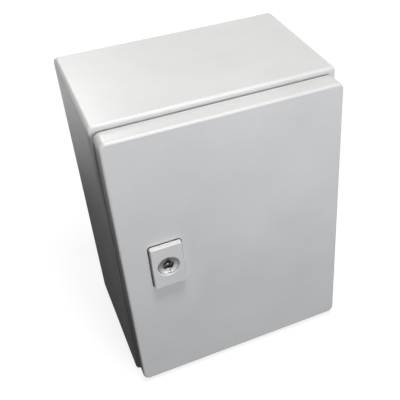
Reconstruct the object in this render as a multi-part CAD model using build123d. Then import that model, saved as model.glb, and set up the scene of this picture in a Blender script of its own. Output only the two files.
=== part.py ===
# A small wall cabinet of folded sheet steel that houses a traffic signal controller.
# Millimetres. X runs to the right seen from the front, Y runs back into the wall, Z is up.
# The origin is the middle of the back face, so the wall is the plane y = 0 and the door faces -Y.
import os

from build123d import *

# Cabinet shell
WIDTH = 300.0
HEIGHT = 400.0
DEPTH = 210.0
SHEET = 1.5
SHELL_DEPTH = 182.0
SHELL_CORNER_R = 6.0
SHELL_EDGE_R = 3.0
RIM_WIDTH = 22.0
LIP_TIP_Y = -202.0
LIP_CORNER_R = 8.0
WALL_HOLE_D = 8.5
WALL_HOLE_X = 120.0
WALL_HOLE_Z = 170.0

# Door, a pan that stands in front of the rim and is a little smaller than the shell
DOOR_SIDE_GAP = 4.0
DOOR_END_GAP = 7.5
DOOR_REAR_Y = -185.0
DOOR_CORNER_R = 9.0
DOOR_EDGE_R = 3.0
GASKET_WIDTH = 10.0
SEAL_GAP = 0.3

# Hinges, on the right, hidden between the lip and the door's folded edge
HINGE_X = 140.5
HINGE_Y = -193.5
HINGE_Z = 138.0
PIN_D = 4.0
KNUCKLE_R = 3.6
KNUCKLE_SPLIT = 9.7
HINGE_CLEARANCE = 0.3
NOTCH_HALF = 28.0
NOTCH_FRONT_Y = -198.8

# Quarter turn lock, on the left at mid height
LOCK_X = -92.0
LOCK_Z = 5.0
PLATE_W = 41.0
PLATE_H = 64.0
PLATE_T = 7.0
PLATE_DRAFT = 7.0
LOCK_SEAL_T = 1.0
POCKET_D = 27.0
POCKET_DEPTH = 4.8
LOCK_BODY_D = 22.0
LOCK_BODY_FLATS = 20.0
LOCK_BODY_REAR_Y = -188.0
BARREL_D = 16.6
DISC_GAP = 0.6
DISC_DEPTH = 1.1
DISH_DEPTH = 3.6
BOWL_D = 14.6
BOWL_DEPTH = 5.6
SOCKET_D = 9.0
SOCKET_DEPTH = 12.0
KEY_PIN_D = 3.0
KEY_PIN_DEPTH = 4.0
KEY_PIN_SEAT = 14.0
KEY_SLOT_W = 5.2
KEY_BIT_R = 6.1
KEY_BIT_DEPTH = 9.5
CAM_FRONT_Y = -179.5
CAM_T = 3.0
CAM_REACH = 46.0

# Gland plate over the cable opening in the base
GLAND_W = 190.0
GLAND_DEPTH = 90.0
GLAND_Y = -90.0
GLAND_LAP = 18.0
GLAND_SEAL = 3.0

# Mounting plate and what it carries
PLATE_STANDOFF = 10.0
MOUNT_PLATE_T = 2.0
MOUNT_PLATE_W = 250.0
MOUNT_PLATE_H = 350.0
MOUNT_PLATE_FOLD = 10.0
MOUNT_PLATE_CHAMFER = 24.0
STUD_X = 111.0
STUD_Z = 134.0
RAIL_LENGTH = 204.0
RAIL_H = 35.0
RAIL_DEPTH = 7.5
UPPER_RAIL_Z = 117.0
LOWER_RAIL_Z = -127.0
DUCT_LENGTH = 204.0
DUCT_H = 25.0
DUCT_DEPTH = 40.0
UPPER_DUCT_Z = 56.0
LOWER_DUCT_Z = -71.0
CONTROLLER_W = 204.0
CONTROLLER_H = 92.0
CONTROLLER_Z = -7.5

# Places worked out from the sizes above
SHELL_FRONT_Y = -SHELL_DEPTH
DOOR_FRONT_Y = -DEPTH
SKIN_Y = DOOR_FRONT_Y + SHEET
DOOR_W = WIDTH - 2 * DOOR_SIDE_GAP
DOOR_H = HEIGHT - 2 * DOOR_END_GAP
FLOOR_Z = -HEIGHT / 2 + SHEET
OPENING_W = WIDTH - 2 * RIM_WIDTH
OPENING_H = HEIGHT - 2 * RIM_WIDTH
PLATE_REAR_Y = -SHEET - PLATE_STANDOFF
PLATE_Y = PLATE_REAR_Y - MOUNT_PLATE_T
RAIL_FRONT_Y = PLATE_Y - RAIL_DEPTH
DEVICE_REAR_Y = RAIL_FRONT_Y + 4.0


def front_plane(y):
    """The drawing plane that looks at the front, at depth y: its x is X and its y is Z."""
    return Plane(origin=(0, y, 0), x_dir=(1, 0, 0), z_dir=(0, -1, 0))


def slab(sketch, rear_y, front_y):
    """A front-view sketch given depth from rear_y forward to front_y."""
    return extrude(front_plane(rear_y) * sketch, amount=rear_y - front_y)


def block(x0, x1, y0, y1, z0, z1):
    """A box between two corners."""
    return Pos((x0 + x1) / 2, (y0 + y1) / 2, (z0 + z1) / 2) * Box(x1 - x0, y1 - y0, z1 - z0)


def rod(x, z, diameter, rear_y, front_y):
    """A round bar along Y."""
    return slab(Pos(x, z) * Circle(diameter / 2), rear_y, front_y)


def upright(x, y, diameter, z0, z1):
    """A round bar along Z."""
    return Pos(x, y, (z0 + z1) / 2) * Cylinder(diameter / 2, z1 - z0)


def side_profile(points, x0, x1):
    """An outline given as (y, z) points, carried along X from x0 to x1."""
    face = make_face(Polyline([(x0, y, z) for y, z in points], close=True))
    return extrude(face, amount=x1 - x0, dir=(1, 0, 0))


def group(pieces):
    """Several separate solids in one node."""
    return Compound(children=[solid for piece in pieces for solid in piece.solids()])


def hex_nut(x, z, flats, thickness, bore, rear_y):
    """A nut whose axis is along Y, seated on the face at rear_y."""
    outline = RegularPolygon(flats / 2, 6, major_radius=False) - Circle(bore / 2)
    return slab(Pos(x, z) * outline, rear_y, rear_y - thickness)


def cabinet_shell():
    """One folded and welded shell: back, four walls, the rim that faces forward and its sealing lip."""
    outer = slab(RectangleRounded(WIDTH, HEIGHT, SHELL_CORNER_R), 0, SHELL_FRONT_Y)
    ends = [outer.faces().sort_by(Axis.Y)[0], outer.faces().sort_by(Axis.Y)[-1]]
    outer = fillet([edge for end in ends for edge in end.edges()], SHELL_EDGE_R)
    inner_size = (WIDTH - 2 * SHEET, HEIGHT - 2 * SHEET)
    inner = slab(
        RectangleRounded(*inner_size, SHELL_CORNER_R - SHEET), -SHEET, SHELL_FRONT_Y + SHEET
    )
    inner = fillet(
        inner.faces().sort_by(Axis.Y)[0].edges() + inner.faces().sort_by(Axis.Y)[-1].edges(),
        SHELL_EDGE_R - SHEET,
    )
    mouth = RectangleRounded(OPENING_W, OPENING_H, LIP_CORNER_R)
    lip_outline = RectangleRounded(
        OPENING_W + 2 * SHEET, OPENING_H + 2 * SHEET, LIP_CORNER_R + SHEET
    )
    lip = slab(lip_outline - mouth, SHELL_FRONT_Y + SHEET, LIP_TIP_Y)
    shell = outer - inner - slab(mouth, SHELL_FRONT_Y + 2 * SHEET, LIP_TIP_Y - SHEET) + lip
    wall_holes = GridLocations(2 * WALL_HOLE_X, 2 * WALL_HOLE_Z, 2, 2) * Circle(WALL_HOLE_D / 2)
    for hole in wall_holes:
        shell -= slab(hole, SHEET, -2 * SHEET)
    cable_opening = extrude(
        Plane.XY.offset(-HEIGHT / 2 - SHEET) * Pos(0, GLAND_Y)
        * RectangleRounded(GLAND_W, GLAND_DEPTH, 6),
        amount=3 * SHEET,
    )
    return shell - cable_opening


def door_panel():
    """The door's sheet: a flat face with edges folded back, notched where the hinge arms pass."""
    outline = RectangleRounded(DOOR_W, DOOR_H, DOOR_CORNER_R)
    outer = slab(outline, DOOR_REAR_Y, DOOR_FRONT_Y)
    outer = fillet(outer.faces().sort_by(Axis.Y)[0].edges(), DOOR_EDGE_R)
    hollow = slab(
        RectangleRounded(DOOR_W - 2 * SHEET, DOOR_H - 2 * SHEET, DOOR_CORNER_R - SHEET),
        DOOR_REAR_Y + SHEET,
        SKIN_Y,
    )
    hollow = fillet(hollow.faces().sort_by(Axis.Y)[0].edges(), DOOR_EDGE_R - SHEET)
    door = outer - hollow
    for z in (HINGE_Z, -HINGE_Z):
        door -= block(
            DOOR_W / 2 - 3 * SHEET, DOOR_W / 2 + SHEET,
            NOTCH_FRONT_Y, DOOR_REAR_Y + SHEET,
            z - NOTCH_HALF, z + NOTCH_HALF,
        )
    lock_hole = Circle(LOCK_BODY_D / 2 + 0.2) & Rectangle(LOCK_BODY_FLATS + 0.4, LOCK_BODY_D + 2)
    return door - slab(Pos(LOCK_X, LOCK_Z) * lock_hole, SKIN_Y + SHEET, DOOR_FRONT_Y - SHEET)


def door_gasket():
    """The foamed seal inside the door, a ring that the lip presses against."""
    middle_w = OPENING_W + SHEET
    middle_h = OPENING_H + SHEET
    ring = RectangleRounded(
        middle_w + GASKET_WIDTH, middle_h + GASKET_WIDTH, LIP_CORNER_R + GASKET_WIDTH / 2
    ) - RectangleRounded(middle_w - GASKET_WIDTH, middle_h - GASKET_WIDTH, LIP_CORNER_R / 2)
    seal = slab(ring, LIP_TIP_Y - SEAL_GAP, SKIN_Y)
    crown_edges = seal.faces().sort_by(Axis.Y)[-1].edges()
    return fillet(crown_edges, 2.0)


def hinge_arm(z):
    """The fixed half of a hinge: a foot on the rim, a thin arm and a bored knuckle."""
    foot = block(
        HINGE_X - 9, HINGE_X + 2, SHELL_FRONT_Y - 2.5, SHELL_FRONT_Y,
        z - NOTCH_HALF + 2, z + NOTCH_HALF - 2,
    )
    foot = fillet(foot.edges().filter_by(Axis.Y), 3.0 - 0.5)
    arm = block(HINGE_X - 2, HINGE_X + 1, HINGE_Y, SHELL_FRONT_Y, z - KNUCKLE_SPLIT, z + KNUCKLE_SPLIT)
    knuckle = upright(HINGE_X, HINGE_Y, 2 * KNUCKLE_R, z - KNUCKLE_SPLIT, z + KNUCKLE_SPLIT)
    bore = upright(HINGE_X, HINGE_Y, PIN_D + 0.1, z - 40, z + 40)
    holes = [rod(HINGE_X - 4.5, z + s * 18, 4.4, SHELL_FRONT_Y + 1, SHELL_FRONT_Y - 4) for s in (-1, 1)]
    return foot + arm + knuckle - bore - holes


def hinge_arm_screws():
    """Four pan head screws that hold the hinge arms on the rim, their shanks in the arms' holes."""
    screws = []
    for z in (HINGE_Z, -HINGE_Z):
        for s in (-1, 1):
            head = rod(HINGE_X - 4.5, z + s * 18, 8.0, SHELL_FRONT_Y - 2.5, SHELL_FRONT_Y - 5.0)
            head = chamfer(head.faces().sort_by(Axis.Y)[0].edges(), 0.8)
            shank = rod(HINGE_X - 4.5, z + s * 18, 4.2, SHELL_FRONT_Y, SHELL_FRONT_Y - 2.5)
            slot = block(
                HINGE_X - 9, HINGE_X, SHELL_FRONT_Y - 5.5, SHELL_FRONT_Y - 4.0,
                z + s * 18 - 0.6, z + s * 18 + 0.6,
            )
            screws.append(head + shank - slot)
    return group(screws)


def hinge_leaf(z):
    """The moving half of a hinge: a base on the door's skin with a knuckle above and below the arm's."""
    base = block(HINGE_X - 5.5, HINGE_X + 2.3, SKIN_Y, SKIN_Y + 2, z - 24, z + 24)
    leaf = base
    for s in (-1, 1):
        near = z + s * (KNUCKLE_SPLIT + HINGE_CLEARANCE)
        far = z + s * 20
        low, high = min(near, far), max(near, far)
        leaf += block(HINGE_X - 2, HINGE_X + 2, SKIN_Y, HINGE_Y, low, high)
        leaf += upright(HINGE_X, HINGE_Y, 2 * KNUCKLE_R, low, high)
    return leaf - upright(HINGE_X, HINGE_Y, PIN_D, z - 40, z + 40)


def hinge_pin(z):
    """A headed pin, tight in the leaf's knuckles and free in the arm's."""
    pin = upright(HINGE_X, HINGE_Y, PIN_D, z - 21.5, z + 20)
    return pin + upright(HINGE_X, HINGE_Y, 6.0, z + 20, z + 22)


def lock_seal():
    """The flat rubber seal between the lock's plate and the door."""
    outline = RectangleRounded(PLATE_W - 0.8, PLATE_H - 0.8, 3.1) - Circle(LOCK_BODY_D / 2 + 0.1)
    return slab(Pos(LOCK_X, LOCK_Z) * outline, DOOR_FRONT_Y, DOOR_FRONT_Y - LOCK_SEAL_T)


def lock_case():
    """The lock's die-cast case: the drafted plate outside the door and the flatted body through it."""
    front = DOOR_FRONT_Y - PLATE_T
    seat = DOOR_FRONT_Y - LOCK_SEAL_T
    base = front_plane(seat) * Pos(LOCK_X, LOCK_Z) * RectangleRounded(PLATE_W, PLATE_H, 3.5)
    plate = extrude(base, amount=seat - front, taper=PLATE_DRAFT)
    plate = fillet(plate.faces().sort_by(Axis.Y)[0].edges(), 0.9)
    outline = Circle(LOCK_BODY_D / 2) & Rectangle(LOCK_BODY_FLATS, LOCK_BODY_D + 2)
    body = slab(Pos(LOCK_X, LOCK_Z) * outline, LOCK_BODY_REAR_Y, seat)
    pocket = rod(LOCK_X, LOCK_Z, POCKET_D, front + POCKET_DEPTH, front - 1)
    bore = rod(LOCK_X, LOCK_Z, BARREL_D + 0.1, LOCK_BODY_REAR_Y + 1, front)
    case = plate + body - pocket - bore
    rim_edges = [
        edge
        for edge in case.faces().sort_by(Axis.Y)[0].edges().filter_by(GeomType.CIRCLE)
        if abs(edge.radius - POCKET_D / 2) < 0.1
    ]
    return chamfer(rim_edges, 1.0)


def lock_barrel():
    """The turning part: a dished disc in the pocket, a bowl with the key's socket, and the shaft.

    A slot above and one below the socket lead the key's bits in. Their floors rise towards the rim.
    """
    front = DOOR_FRONT_Y - PLATE_T
    shaft_r, disc_r, pin_r = BARREL_D / 2, POCKET_D / 2 - DISC_GAP, KEY_PIN_D / 2
    bowl_r, socket_r = BOWL_D / 2, SOCKET_D / 2
    disc_front, disc_rear = front + DISC_DEPTH, front + POCKET_DEPTH - 0.1
    bowl_y, socket_y = front + BOWL_DEPTH, front + SOCKET_DEPTH
    section = Polyline(
        (pin_r, CAM_FRONT_Y - KEY_PIN_SEAT), (0, CAM_FRONT_Y - KEY_PIN_SEAT), (0, CAM_FRONT_Y),
        (shaft_r, CAM_FRONT_Y), (shaft_r, disc_rear), (disc_r, disc_rear),
        (disc_r, disc_front), (disc_r - 0.6, disc_front), (bowl_r, front + DISH_DEPTH),
        (bowl_r, bowl_y), (socket_r, bowl_y), (socket_r, socket_y), (pin_r, socket_y), close=True,
    )
    place = Plane(origin=(LOCK_X, 0, LOCK_Z), x_dir=(1, 0, 0), z_dir=(0, 0, 1))
    barrel = revolve(place * make_face(section), axis=Axis((LOCK_X, 0, LOCK_Z), (0, 1, 0)))
    x0, x1 = LOCK_X - KEY_SLOT_W / 2, LOCK_X + KEY_SLOT_W / 2
    for s in (-1, 1):
        near, rim = LOCK_Z + s * (pin_r + 1.9), LOCK_Z + s * POCKET_D / 2
        rise = [(front - 1, near), (bowl_y + 0.3, near), (disc_front + 0.8, rim), (front - 1, rim)]
        barrel -= side_profile(rise, x0, x1)
        bit = sorted((LOCK_Z + s * (pin_r + 0.15), LOCK_Z + s * KEY_BIT_R))
        barrel -= block(x0, x1, front - 1, front + KEY_BIT_DEPTH, *bit)
    square = slab(Pos(LOCK_X, LOCK_Z) * Rectangle(8, 8), CAM_FRONT_Y + CAM_T, CAM_FRONT_Y)
    tap = rod(LOCK_X, LOCK_Z, 4.2, CAM_FRONT_Y + CAM_T + 1, CAM_FRONT_Y - 8)
    return barrel + square - tap


def key_pin():
    """The steel pin that centres the key, pressed into the barrel."""
    tip = DOOR_FRONT_Y - PLATE_T + KEY_PIN_DEPTH
    pin = rod(LOCK_X, LOCK_Z, KEY_PIN_D, CAM_FRONT_Y - KEY_PIN_SEAT, tip)
    return chamfer(pin.faces().sort_by(Axis.Y)[0].edges(), 0.6)


def lock_nut():
    """The large nut that clamps the lock's case to the door."""
    return hex_nut(LOCK_X, LOCK_Z, 28, 5, LOCK_BODY_D + 0.1, SKIN_Y + 5.0)


def lock_cam():
    """The tongue that turns behind the rim. It points up, unlocked, at rest."""
    tongue = Pos(0, CAM_REACH / 2 - 4) * Rectangle(16, CAM_REACH + 8)
    outline = fillet(tongue.vertices(), 5.0) - Rectangle(8.1, 8.1)
    return slab(Pos(LOCK_X, LOCK_Z) * outline, CAM_FRONT_Y + CAM_T, CAM_FRONT_Y)


def cam_screw():
    """The screw and washer that hold the cam on the barrel's square."""
    rear = CAM_FRONT_Y + CAM_T
    washer = rod(LOCK_X, LOCK_Z, 13.0, rear + 1.2, rear)
    head = slab(Pos(LOCK_X, LOCK_Z) * RegularPolygon(4.0, 6, major_radius=False), rear + 4.7, rear + 1.2)
    return washer + head + rod(LOCK_X, LOCK_Z, 4.1, rear, rear - 9)


def stud(x, z, diameter, base_y, tip_y):
    """A weld stud along Y with a chamfered tip."""
    bar = rod(x, z, diameter, base_y, tip_y)
    return chamfer(bar.faces().sort_by(Axis.Y)[0].edges(), diameter / 10)


def door_earth_stud():
    """The bonding stud low on the door's inside, with its nut and washer."""
    x, z = -100.0, -158.0
    bar = rod(x, z, 6.0, SKIN_Y + 18, SKIN_Y)
    washer = slab(Pos(x, z) * (Circle(6.5) - Circle(3.05)), SKIN_Y + 2.6, SKIN_Y + 1)
    collar = slab(Pos(x, z) * (Circle(5.0) - Circle(3.05)), SKIN_Y + 1, SKIN_Y)
    nut = hex_nut(x, z, 10, 5, 6.1, SKIN_Y + 7.6)
    return group([bar, collar, washer, nut])


def body_earth_stud():
    """The bonding stud on the right wall, near the base, with its nut and washer."""
    wall_x = WIDTH / 2 - SHEET
    flat = Plane(origin=(wall_x, -62, -150), x_dir=(0, 1, 0), z_dir=(-1, 0, 0))
    bar = extrude(flat * Circle(4.0), amount=22)
    washer = extrude(flat * (Circle(8.0) - Circle(4.05)), amount=1.6)
    nut_outline = RegularPolygon(6.5, 6, major_radius=False) - Circle(4.05)
    nut = extrude(flat.offset(1.6) * nut_outline, amount=6.5)
    return group([bar, washer, nut])


def gland_corners():
    """Where the six gland plate studs stand, as (x, y)."""
    across = GLAND_W / 2 + GLAND_LAP / 2
    deep = GLAND_DEPTH / 2 + GLAND_LAP / 2 - 1
    return [(x, GLAND_Y + s * deep) for x in (-across, 0.0, across) for s in (-1, 1)]


def gland_sheet(thickness, z0, open_middle):
    """A sheet over the cable opening, with stud holes, solid or as a ring."""
    outline = RectangleRounded(GLAND_W + 2 * GLAND_LAP, GLAND_DEPTH + 2 * GLAND_LAP - 4, 5)
    if open_middle:
        outline -= RectangleRounded(GLAND_W + 6, GLAND_DEPTH + 6, 7)
    sheet = extrude(Plane.XY.offset(z0) * Pos(0, GLAND_Y) * outline, amount=thickness)
    return sheet - [upright(x, y, 5.6, z0 - 1, z0 + thickness + 1) for x, y in gland_corners()]


def gland_gasket():
    """The foam ring between the cabinet's floor and the gland plate."""
    return gland_sheet(GLAND_SEAL, FLOOR_Z, True)


def gland_plate():
    """The removable plate with pressed knock-outs for cable glands."""
    z0 = FLOOR_Z + GLAND_SEAL
    plate = gland_sheet(2.0, z0, False)
    for x, d in ((-70, 20.4), (-35, 20.4), (0, 25.4), (37, 25.4), (74, 20.4)):
        ring = Pos(x, GLAND_Y) * (Circle(d / 2) - Circle(d / 2 - 0.8))
        plate -= extrude(Plane.XY.offset(z0 + 1.2) * ring, amount=2)
        plate -= extrude(Plane.XY.offset(z0 - 1) * ring, amount=1.4)
    return plate


def gland_studs():
    """Six weld studs on the floor around the cable opening."""
    return group([upright(x, y, 5.0, FLOOR_Z, FLOOR_Z + 13) for x, y in gland_corners()])


def gland_nuts():
    """Six flanged nuts that press the gland plate down on its seal."""
    z0 = FLOOR_Z + GLAND_SEAL + 2.0
    nuts = []
    for x, y in gland_corners():
        place = Plane.XY.offset(z0) * Pos(x, y)
        flange = extrude(place * (Circle(6.0) - Circle(2.55)), amount=1.2)
        hexagon = RegularPolygon(4.0, 6, major_radius=False) - Circle(2.55)
        nuts.append(flange + extrude(Plane.XY.offset(z0 + 1.2) * Pos(x, y) * hexagon, amount=4))
    return group(nuts)


def stud_places():
    """Where the mounting plate's four studs stand, as (x, z)."""
    return [(sx * STUD_X, sz * STUD_Z) for sx in (-1, 1) for sz in (-1, 1)]


def mounting_plate_studs():
    """Four shouldered studs on the back wall."""
    shoulders = [rod(x, z, 14.0, -SHEET, PLATE_REAR_Y) for x, z in stud_places()]
    bars = [stud(x, z, 8.0, PLATE_REAR_Y, PLATE_Y - 13) for x, z in stud_places()]
    return group([a + b for a, b in zip(shoulders, bars)])


def mounting_plate():
    """The galvanised plate, its long sides folded forward and its corners cut back."""
    w, h, c = MOUNT_PLATE_W / 2, MOUNT_PLATE_H / 2, MOUNT_PLATE_CHAMFER
    outline = make_face(
        Polyline(
            (-w, h - c), (-w + c, h), (w - c, h), (w, h - c),
            (w, c - h), (w - c, -h), (c - w, -h), (-w, c - h), close=True,
        )
    )
    plate = slab(outline, PLATE_REAR_Y, PLATE_Y)
    for s in (-1, 1):
        x0, x1 = sorted((s * w, s * (w - MOUNT_PLATE_T)))
        plate += block(x0, x1, PLATE_Y - MOUNT_PLATE_FOLD, PLATE_REAR_Y, c - h, h - c)
    fold_edges = [
        edge
        for edge in plate.edges().filter_by(Axis.Z)
        if abs(edge.center().Y - PLATE_REAR_Y) < 0.01 and abs(abs(edge.center().X) - w) < 0.01
    ]
    plate = fillet(fold_edges, MOUNT_PLATE_T)
    return plate - [rod(x, z, 9.0, 0, PLATE_Y - 1) for x, z in stud_places()]


def mounting_plate_nuts():
    """A washer and a nut on each of the plate's studs."""
    pieces = []
    for x, z in stud_places():
        pieces.append(slab(Pos(x, z) * (Circle(8.0) - Circle(4.05)), PLATE_Y, PLATE_Y - 1.6))
        pieces.append(hex_nut(x, z, 13, 6.5, 8.1, PLATE_Y - 1.6))
    return group(pieces)


def din_rail(z):
    """A top hat rail, 35 wide and 7.5 deep, with slots along its back."""
    half = RAIL_H / 2
    y0, y1 = PLATE_Y, RAIL_FRONT_Y
    points = [
        (y0, z - 13.5), (y1 + 1, z - 13.5), (y1 + 1, z - half), (y1, z - half),
        (y1, z - 12.5), (y0 - 1, z - 12.5), (y0 - 1, z + 12.5), (y1, z + 12.5),
        (y1, z + half), (y1 + 1, z + half), (y1 + 1, z + 13.5), (y0, z + 13.5),
    ]
    rail = side_profile(points, -RAIL_LENGTH / 2, RAIL_LENGTH / 2)
    slot = SlotCenterToCenter(9.8, 5.2)
    slots = [Pos(x, z) * slot for x in range(-90, 91, 25)]
    return rail - [slab(s, y0 + 1, y0 - 2) for s in slots]


def rail_screws():
    """Two pan head screws through each rail into the mounting plate's face."""
    screws = []
    for z in (UPPER_RAIL_Z, LOWER_RAIL_Z):
        for x in (-90, 85):
            head = rod(x, z, 9.0, PLATE_Y - 1, PLATE_Y - 4)
            head = chamfer(head.faces().sort_by(Axis.Y)[0].edges(), 0.9)
            cross = block(x - 2.4, x + 2.4, PLATE_Y - 5, PLATE_Y - 2.6, z - 0.5, z + 0.5)
            cross += block(x - 0.5, x + 0.5, PLATE_Y - 5, PLATE_Y - 2.6, z - 2.4, z + 2.4)
            screws.append(head + rod(x, z, 4.0, PLATE_Y, PLATE_Y - 1) - cross)
    return group(screws)


def rail_recess(z, x0, x1):
    """What a device on a rail leaves out at its back: room for the rail, and hooks behind its lips."""
    wide = block(x0 - 1, x1 + 1, RAIL_FRONT_Y, RAIL_FRONT_Y + 1.1, z - 17.6, z + 17.6)
    narrow = block(x0 - 1, x1 + 1, RAIL_FRONT_Y + 1.1, PLATE_Y, z - 15.8, z + 15.8)
    return wide + narrow


def wire_duct(z):
    """A slotted wiring duct: a channel whose two walls are combs of fingers."""
    x0, x1 = -DUCT_LENGTH / 2, DUCT_LENGTH / 2
    wall, pitch, gap = 1.4, 12.0, 5.0
    front = PLATE_Y - DUCT_DEPTH
    duct = block(x0, x1, front, PLATE_Y, z - DUCT_H / 2, z + DUCT_H / 2)
    duct -= block(
        x0 - 1, x1 + 1, front - 1, PLATE_Y - 1.8, z - DUCT_H / 2 + wall, z + DUCT_H / 2 - wall
    )
    for i in range(int(DUCT_LENGTH // pitch)):
        x = x0 + pitch / 2 + i * pitch + 1
        duct -= block(x, x + gap, front - 1, PLATE_Y - 10, z - DUCT_H, z + DUCT_H)
    return duct


def duct_cover(z):
    """The snap-on lid of a duct, a shallow channel over the ends of the fingers."""
    x0, x1 = -DUCT_LENGTH / 2, DUCT_LENGTH / 2
    front = PLATE_Y - DUCT_DEPTH
    half = DUCT_H / 2
    lid = block(x0, x1, front - 1.6, front + 5, z - half - 1.6, z + half + 1.6)
    lid -= block(x0 - 1, x1 + 1, front, front + 6, z - half - 0.2, z + half + 0.2)
    outer = [e for e in lid.edges().filter_by(Axis.X) if e.center().Y < front - 1.5]
    return fillet(outer, 1.2)


def modular_profile(z, shoulder_y, nose_y, half_height, half_nose):
    """The stepped side outline that devices on a rail share, as (y, z) points."""
    return [
        (DEVICE_REAR_Y, z - half_height), (shoulder_y, z - half_height),
        (shoulder_y, z - half_nose - 2), (nose_y, z - half_nose),
        (nose_y, z + half_nose), (shoulder_y, z + half_nose + 2),
        (shoulder_y, z + half_height), (DEVICE_REAR_Y, z + half_height),
    ]


BREAKER_X0, BREAKER_X1 = -98.0, -62.6
BREAKER_NOSE_Y = -80.0
LEVER_Y = BREAKER_NOSE_Y + 6.0
LEVER_TILT = 35.0


def breaker_case():
    """The two pole main breaker, with a slot in its nose and wire holes above and below."""
    z = UPPER_RAIL_Z
    case = side_profile(modular_profile(z, -62, BREAKER_NOSE_Y, 42.5, 22.5), BREAKER_X0, BREAKER_X1)
    case -= rail_recess(z, BREAKER_X0, BREAKER_X1)
    middle = (BREAKER_X0 + BREAKER_X1) / 2
    case -= block(middle - 14, middle + 14, BREAKER_NOSE_Y - 1, BREAKER_NOSE_Y + 12, z - 11, z + 11)
    case -= block(middle - 0.3, middle + 0.3, BREAKER_NOSE_Y - 1, -61, z - 50, z + 50)
    for x in (middle - 8.9, middle + 8.9):
        for s in (-1, 1):
            case -= rod(x, z + s * 34, 6.4, -58, -63)
            case -= block(x - 4, x + 4, -52, -44, *sorted((z + s * 36, z + s * 44)))
    return case


def breaker_screws():
    """Four slotted clamp screws, set back in the breaker's shoulders."""
    z = UPPER_RAIL_Z
    middle = (BREAKER_X0 + BREAKER_X1) / 2
    screws = []
    for x in (middle - 8.9, middle + 8.9):
        for s in (-1, 1):
            zc = z + s * 34
            slot = block(x - 3.2, x + 3.2, -60.8, -59.6, zc - 0.5, zc + 0.5)
            screws.append(rod(x, zc, 6.2, -58, -60.5) - slot)
    return group(screws)


def breaker_lever():
    """The tied handle of both poles: a drum with two paddles and a bar. At rest it points up, on."""
    middle = (BREAKER_X0 + BREAKER_X1) / 2
    turn = Pos(middle, LEVER_Y, UPPER_RAIL_Z) * Rot(-LEVER_TILT, 0, 0)
    drum = Rot(0, 90, 0) * Cylinder(5.0, 26)
    paddles = [Pos(s * 8.9, -9.5, 0) * Box(7, 12, 4) for s in (-1, 1)]
    tie = Pos(0, -13.5, 0) * Box(25, 4, 4)
    lever = drum + paddles + tie
    return turn * fillet(lever.edges().filter_by(Axis.X).sort_by(Axis.Y)[:2], 1.4)


SURGE_X0, SURGE_X1 = -60.6, -24.6


def surge_base():
    """The surge arrester's base: a stepped block with two bays for its plug-in cartridges."""
    z = UPPER_RAIL_Z
    base = side_profile(modular_profile(z, -50, -62, 45, 30), SURGE_X0, SURGE_X1)
    base -= rail_recess(z, SURGE_X0, SURGE_X1)
    for x in surge_bays():
        base -= block(x - 8.2, x + 8.2, -63, -44, z - 23, z + 23)
        for s in (-1, 1):
            base -= rod(x, z + s * 38, 6.0, -46, -51)
    return base


def surge_bays():
    """The two bays' middles along X."""
    middle = (SURGE_X0 + SURGE_X1) / 2
    return (middle - 9, middle + 9)


def surge_cartridges():
    """Two plug-in cartridges, each with a status window and a finger recess."""
    z = UPPER_RAIL_Z
    made = []
    for x in surge_bays():
        body = block(x - 8.0, x + 8.0, -72, -44, z - 22.8, z + 22.8)
        body = fillet(body.faces().sort_by(Axis.Y)[0].edges(), 1.2)
        body -= block(x - 3, x + 3, -73, -71.2, z + 8, z + 13)
        body -= block(x - 5, x + 5, -73, -70.5, z - 16, z - 14.5)
        made.append(body)
    return group(made)


SUPPLY_X0, SUPPLY_X1 = -20.0, 52.0


def power_supply():
    """The 24 volt supply: a vented case with shoulders that carry its terminals."""
    z = UPPER_RAIL_Z
    case = side_profile(modular_profile(z, -56, -72, 45, 28), SUPPLY_X0, SUPPLY_X1)
    case -= rail_recess(z, SUPPLY_X0, SUPPLY_X1)
    for i in range(7):
        x = SUPPLY_X0 + 12 + i * 8
        case -= block(x - 1.2, x + 1.2, -73, -70.4, z - 20, z + 8)
    return case


def supply_terminals():
    """The screw terminals on both shoulders of the power supply."""
    z = UPPER_RAIL_Z
    pieces = []
    for s, count in ((1, 3), (-1, 4)):
        z0, z1 = sorted((z + s * 33, z + s * 44))
        for i in range(count):
            x = (SUPPLY_X0 + SUPPLY_X1) / 2 + (i - (count - 1) / 2) * 9.0
            body = block(x - 4.2, x + 4.2, -61, -56, z0, z1)
            zc = (z0 + z1) / 2
            body -= rod(x, zc, 5.4, -59, -62)
            screw = rod(x, zc, 5.0, -59, -60.4)
            screw -= block(x - 2.6, x + 2.6, -61, -59.8, zc - 0.5, zc + 0.5)
            pieces.append(body + screw)
    return group(pieces)


RELAY_PITCH = 23.0
LOWER_RELAY_X = [-98.0 + RELAY_PITCH * i for i in range(4)]
UPPER_RELAY_X = [58.0]


def relay_places():
    """Left side and rail height of each relay: four for the signal groups and one for flashing."""
    lower = [(x, LOWER_RAIL_Z) for x in LOWER_RELAY_X]
    return lower + [(x, UPPER_RAIL_Z) for x in UPPER_RELAY_X]


def relay_sockets():
    """Sockets on the rails, stepped at both ends for their screw terminals."""
    made = []
    for x, z in relay_places():
        x1 = x + RELAY_PITCH - 0.6
        points = [
            (DEVICE_REAR_Y, z - 38), (-34, z - 38), (-34, z - 28), (-42, z - 28),
            (-42, z + 28), (-34, z + 28), (-34, z + 38), (DEVICE_REAR_Y, z + 38),
        ]
        socket = side_profile(points, x, x1) - rail_recess(z, x, x1)
        for s in (-1, 1):
            for dx in (5.5, 16.5):
                socket -= rod(x + dx, z + s * 33, 5.0, -31, -35)
        made.append(socket)
    return group(made)


def relays():
    """The plug-in relays, clear cases in the render."""
    made = []
    for x, z in relay_places():
        body = block(x + 1.2, x + RELAY_PITCH - 1.8, -76, -42, z - 17, z + 17)
        body = fillet(body.edges().filter_by(Axis.Y), 1.5)
        made.append(chamfer(body.faces().sort_by(Axis.Y)[0].edges(), 0.8))
    return group(made)


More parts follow.
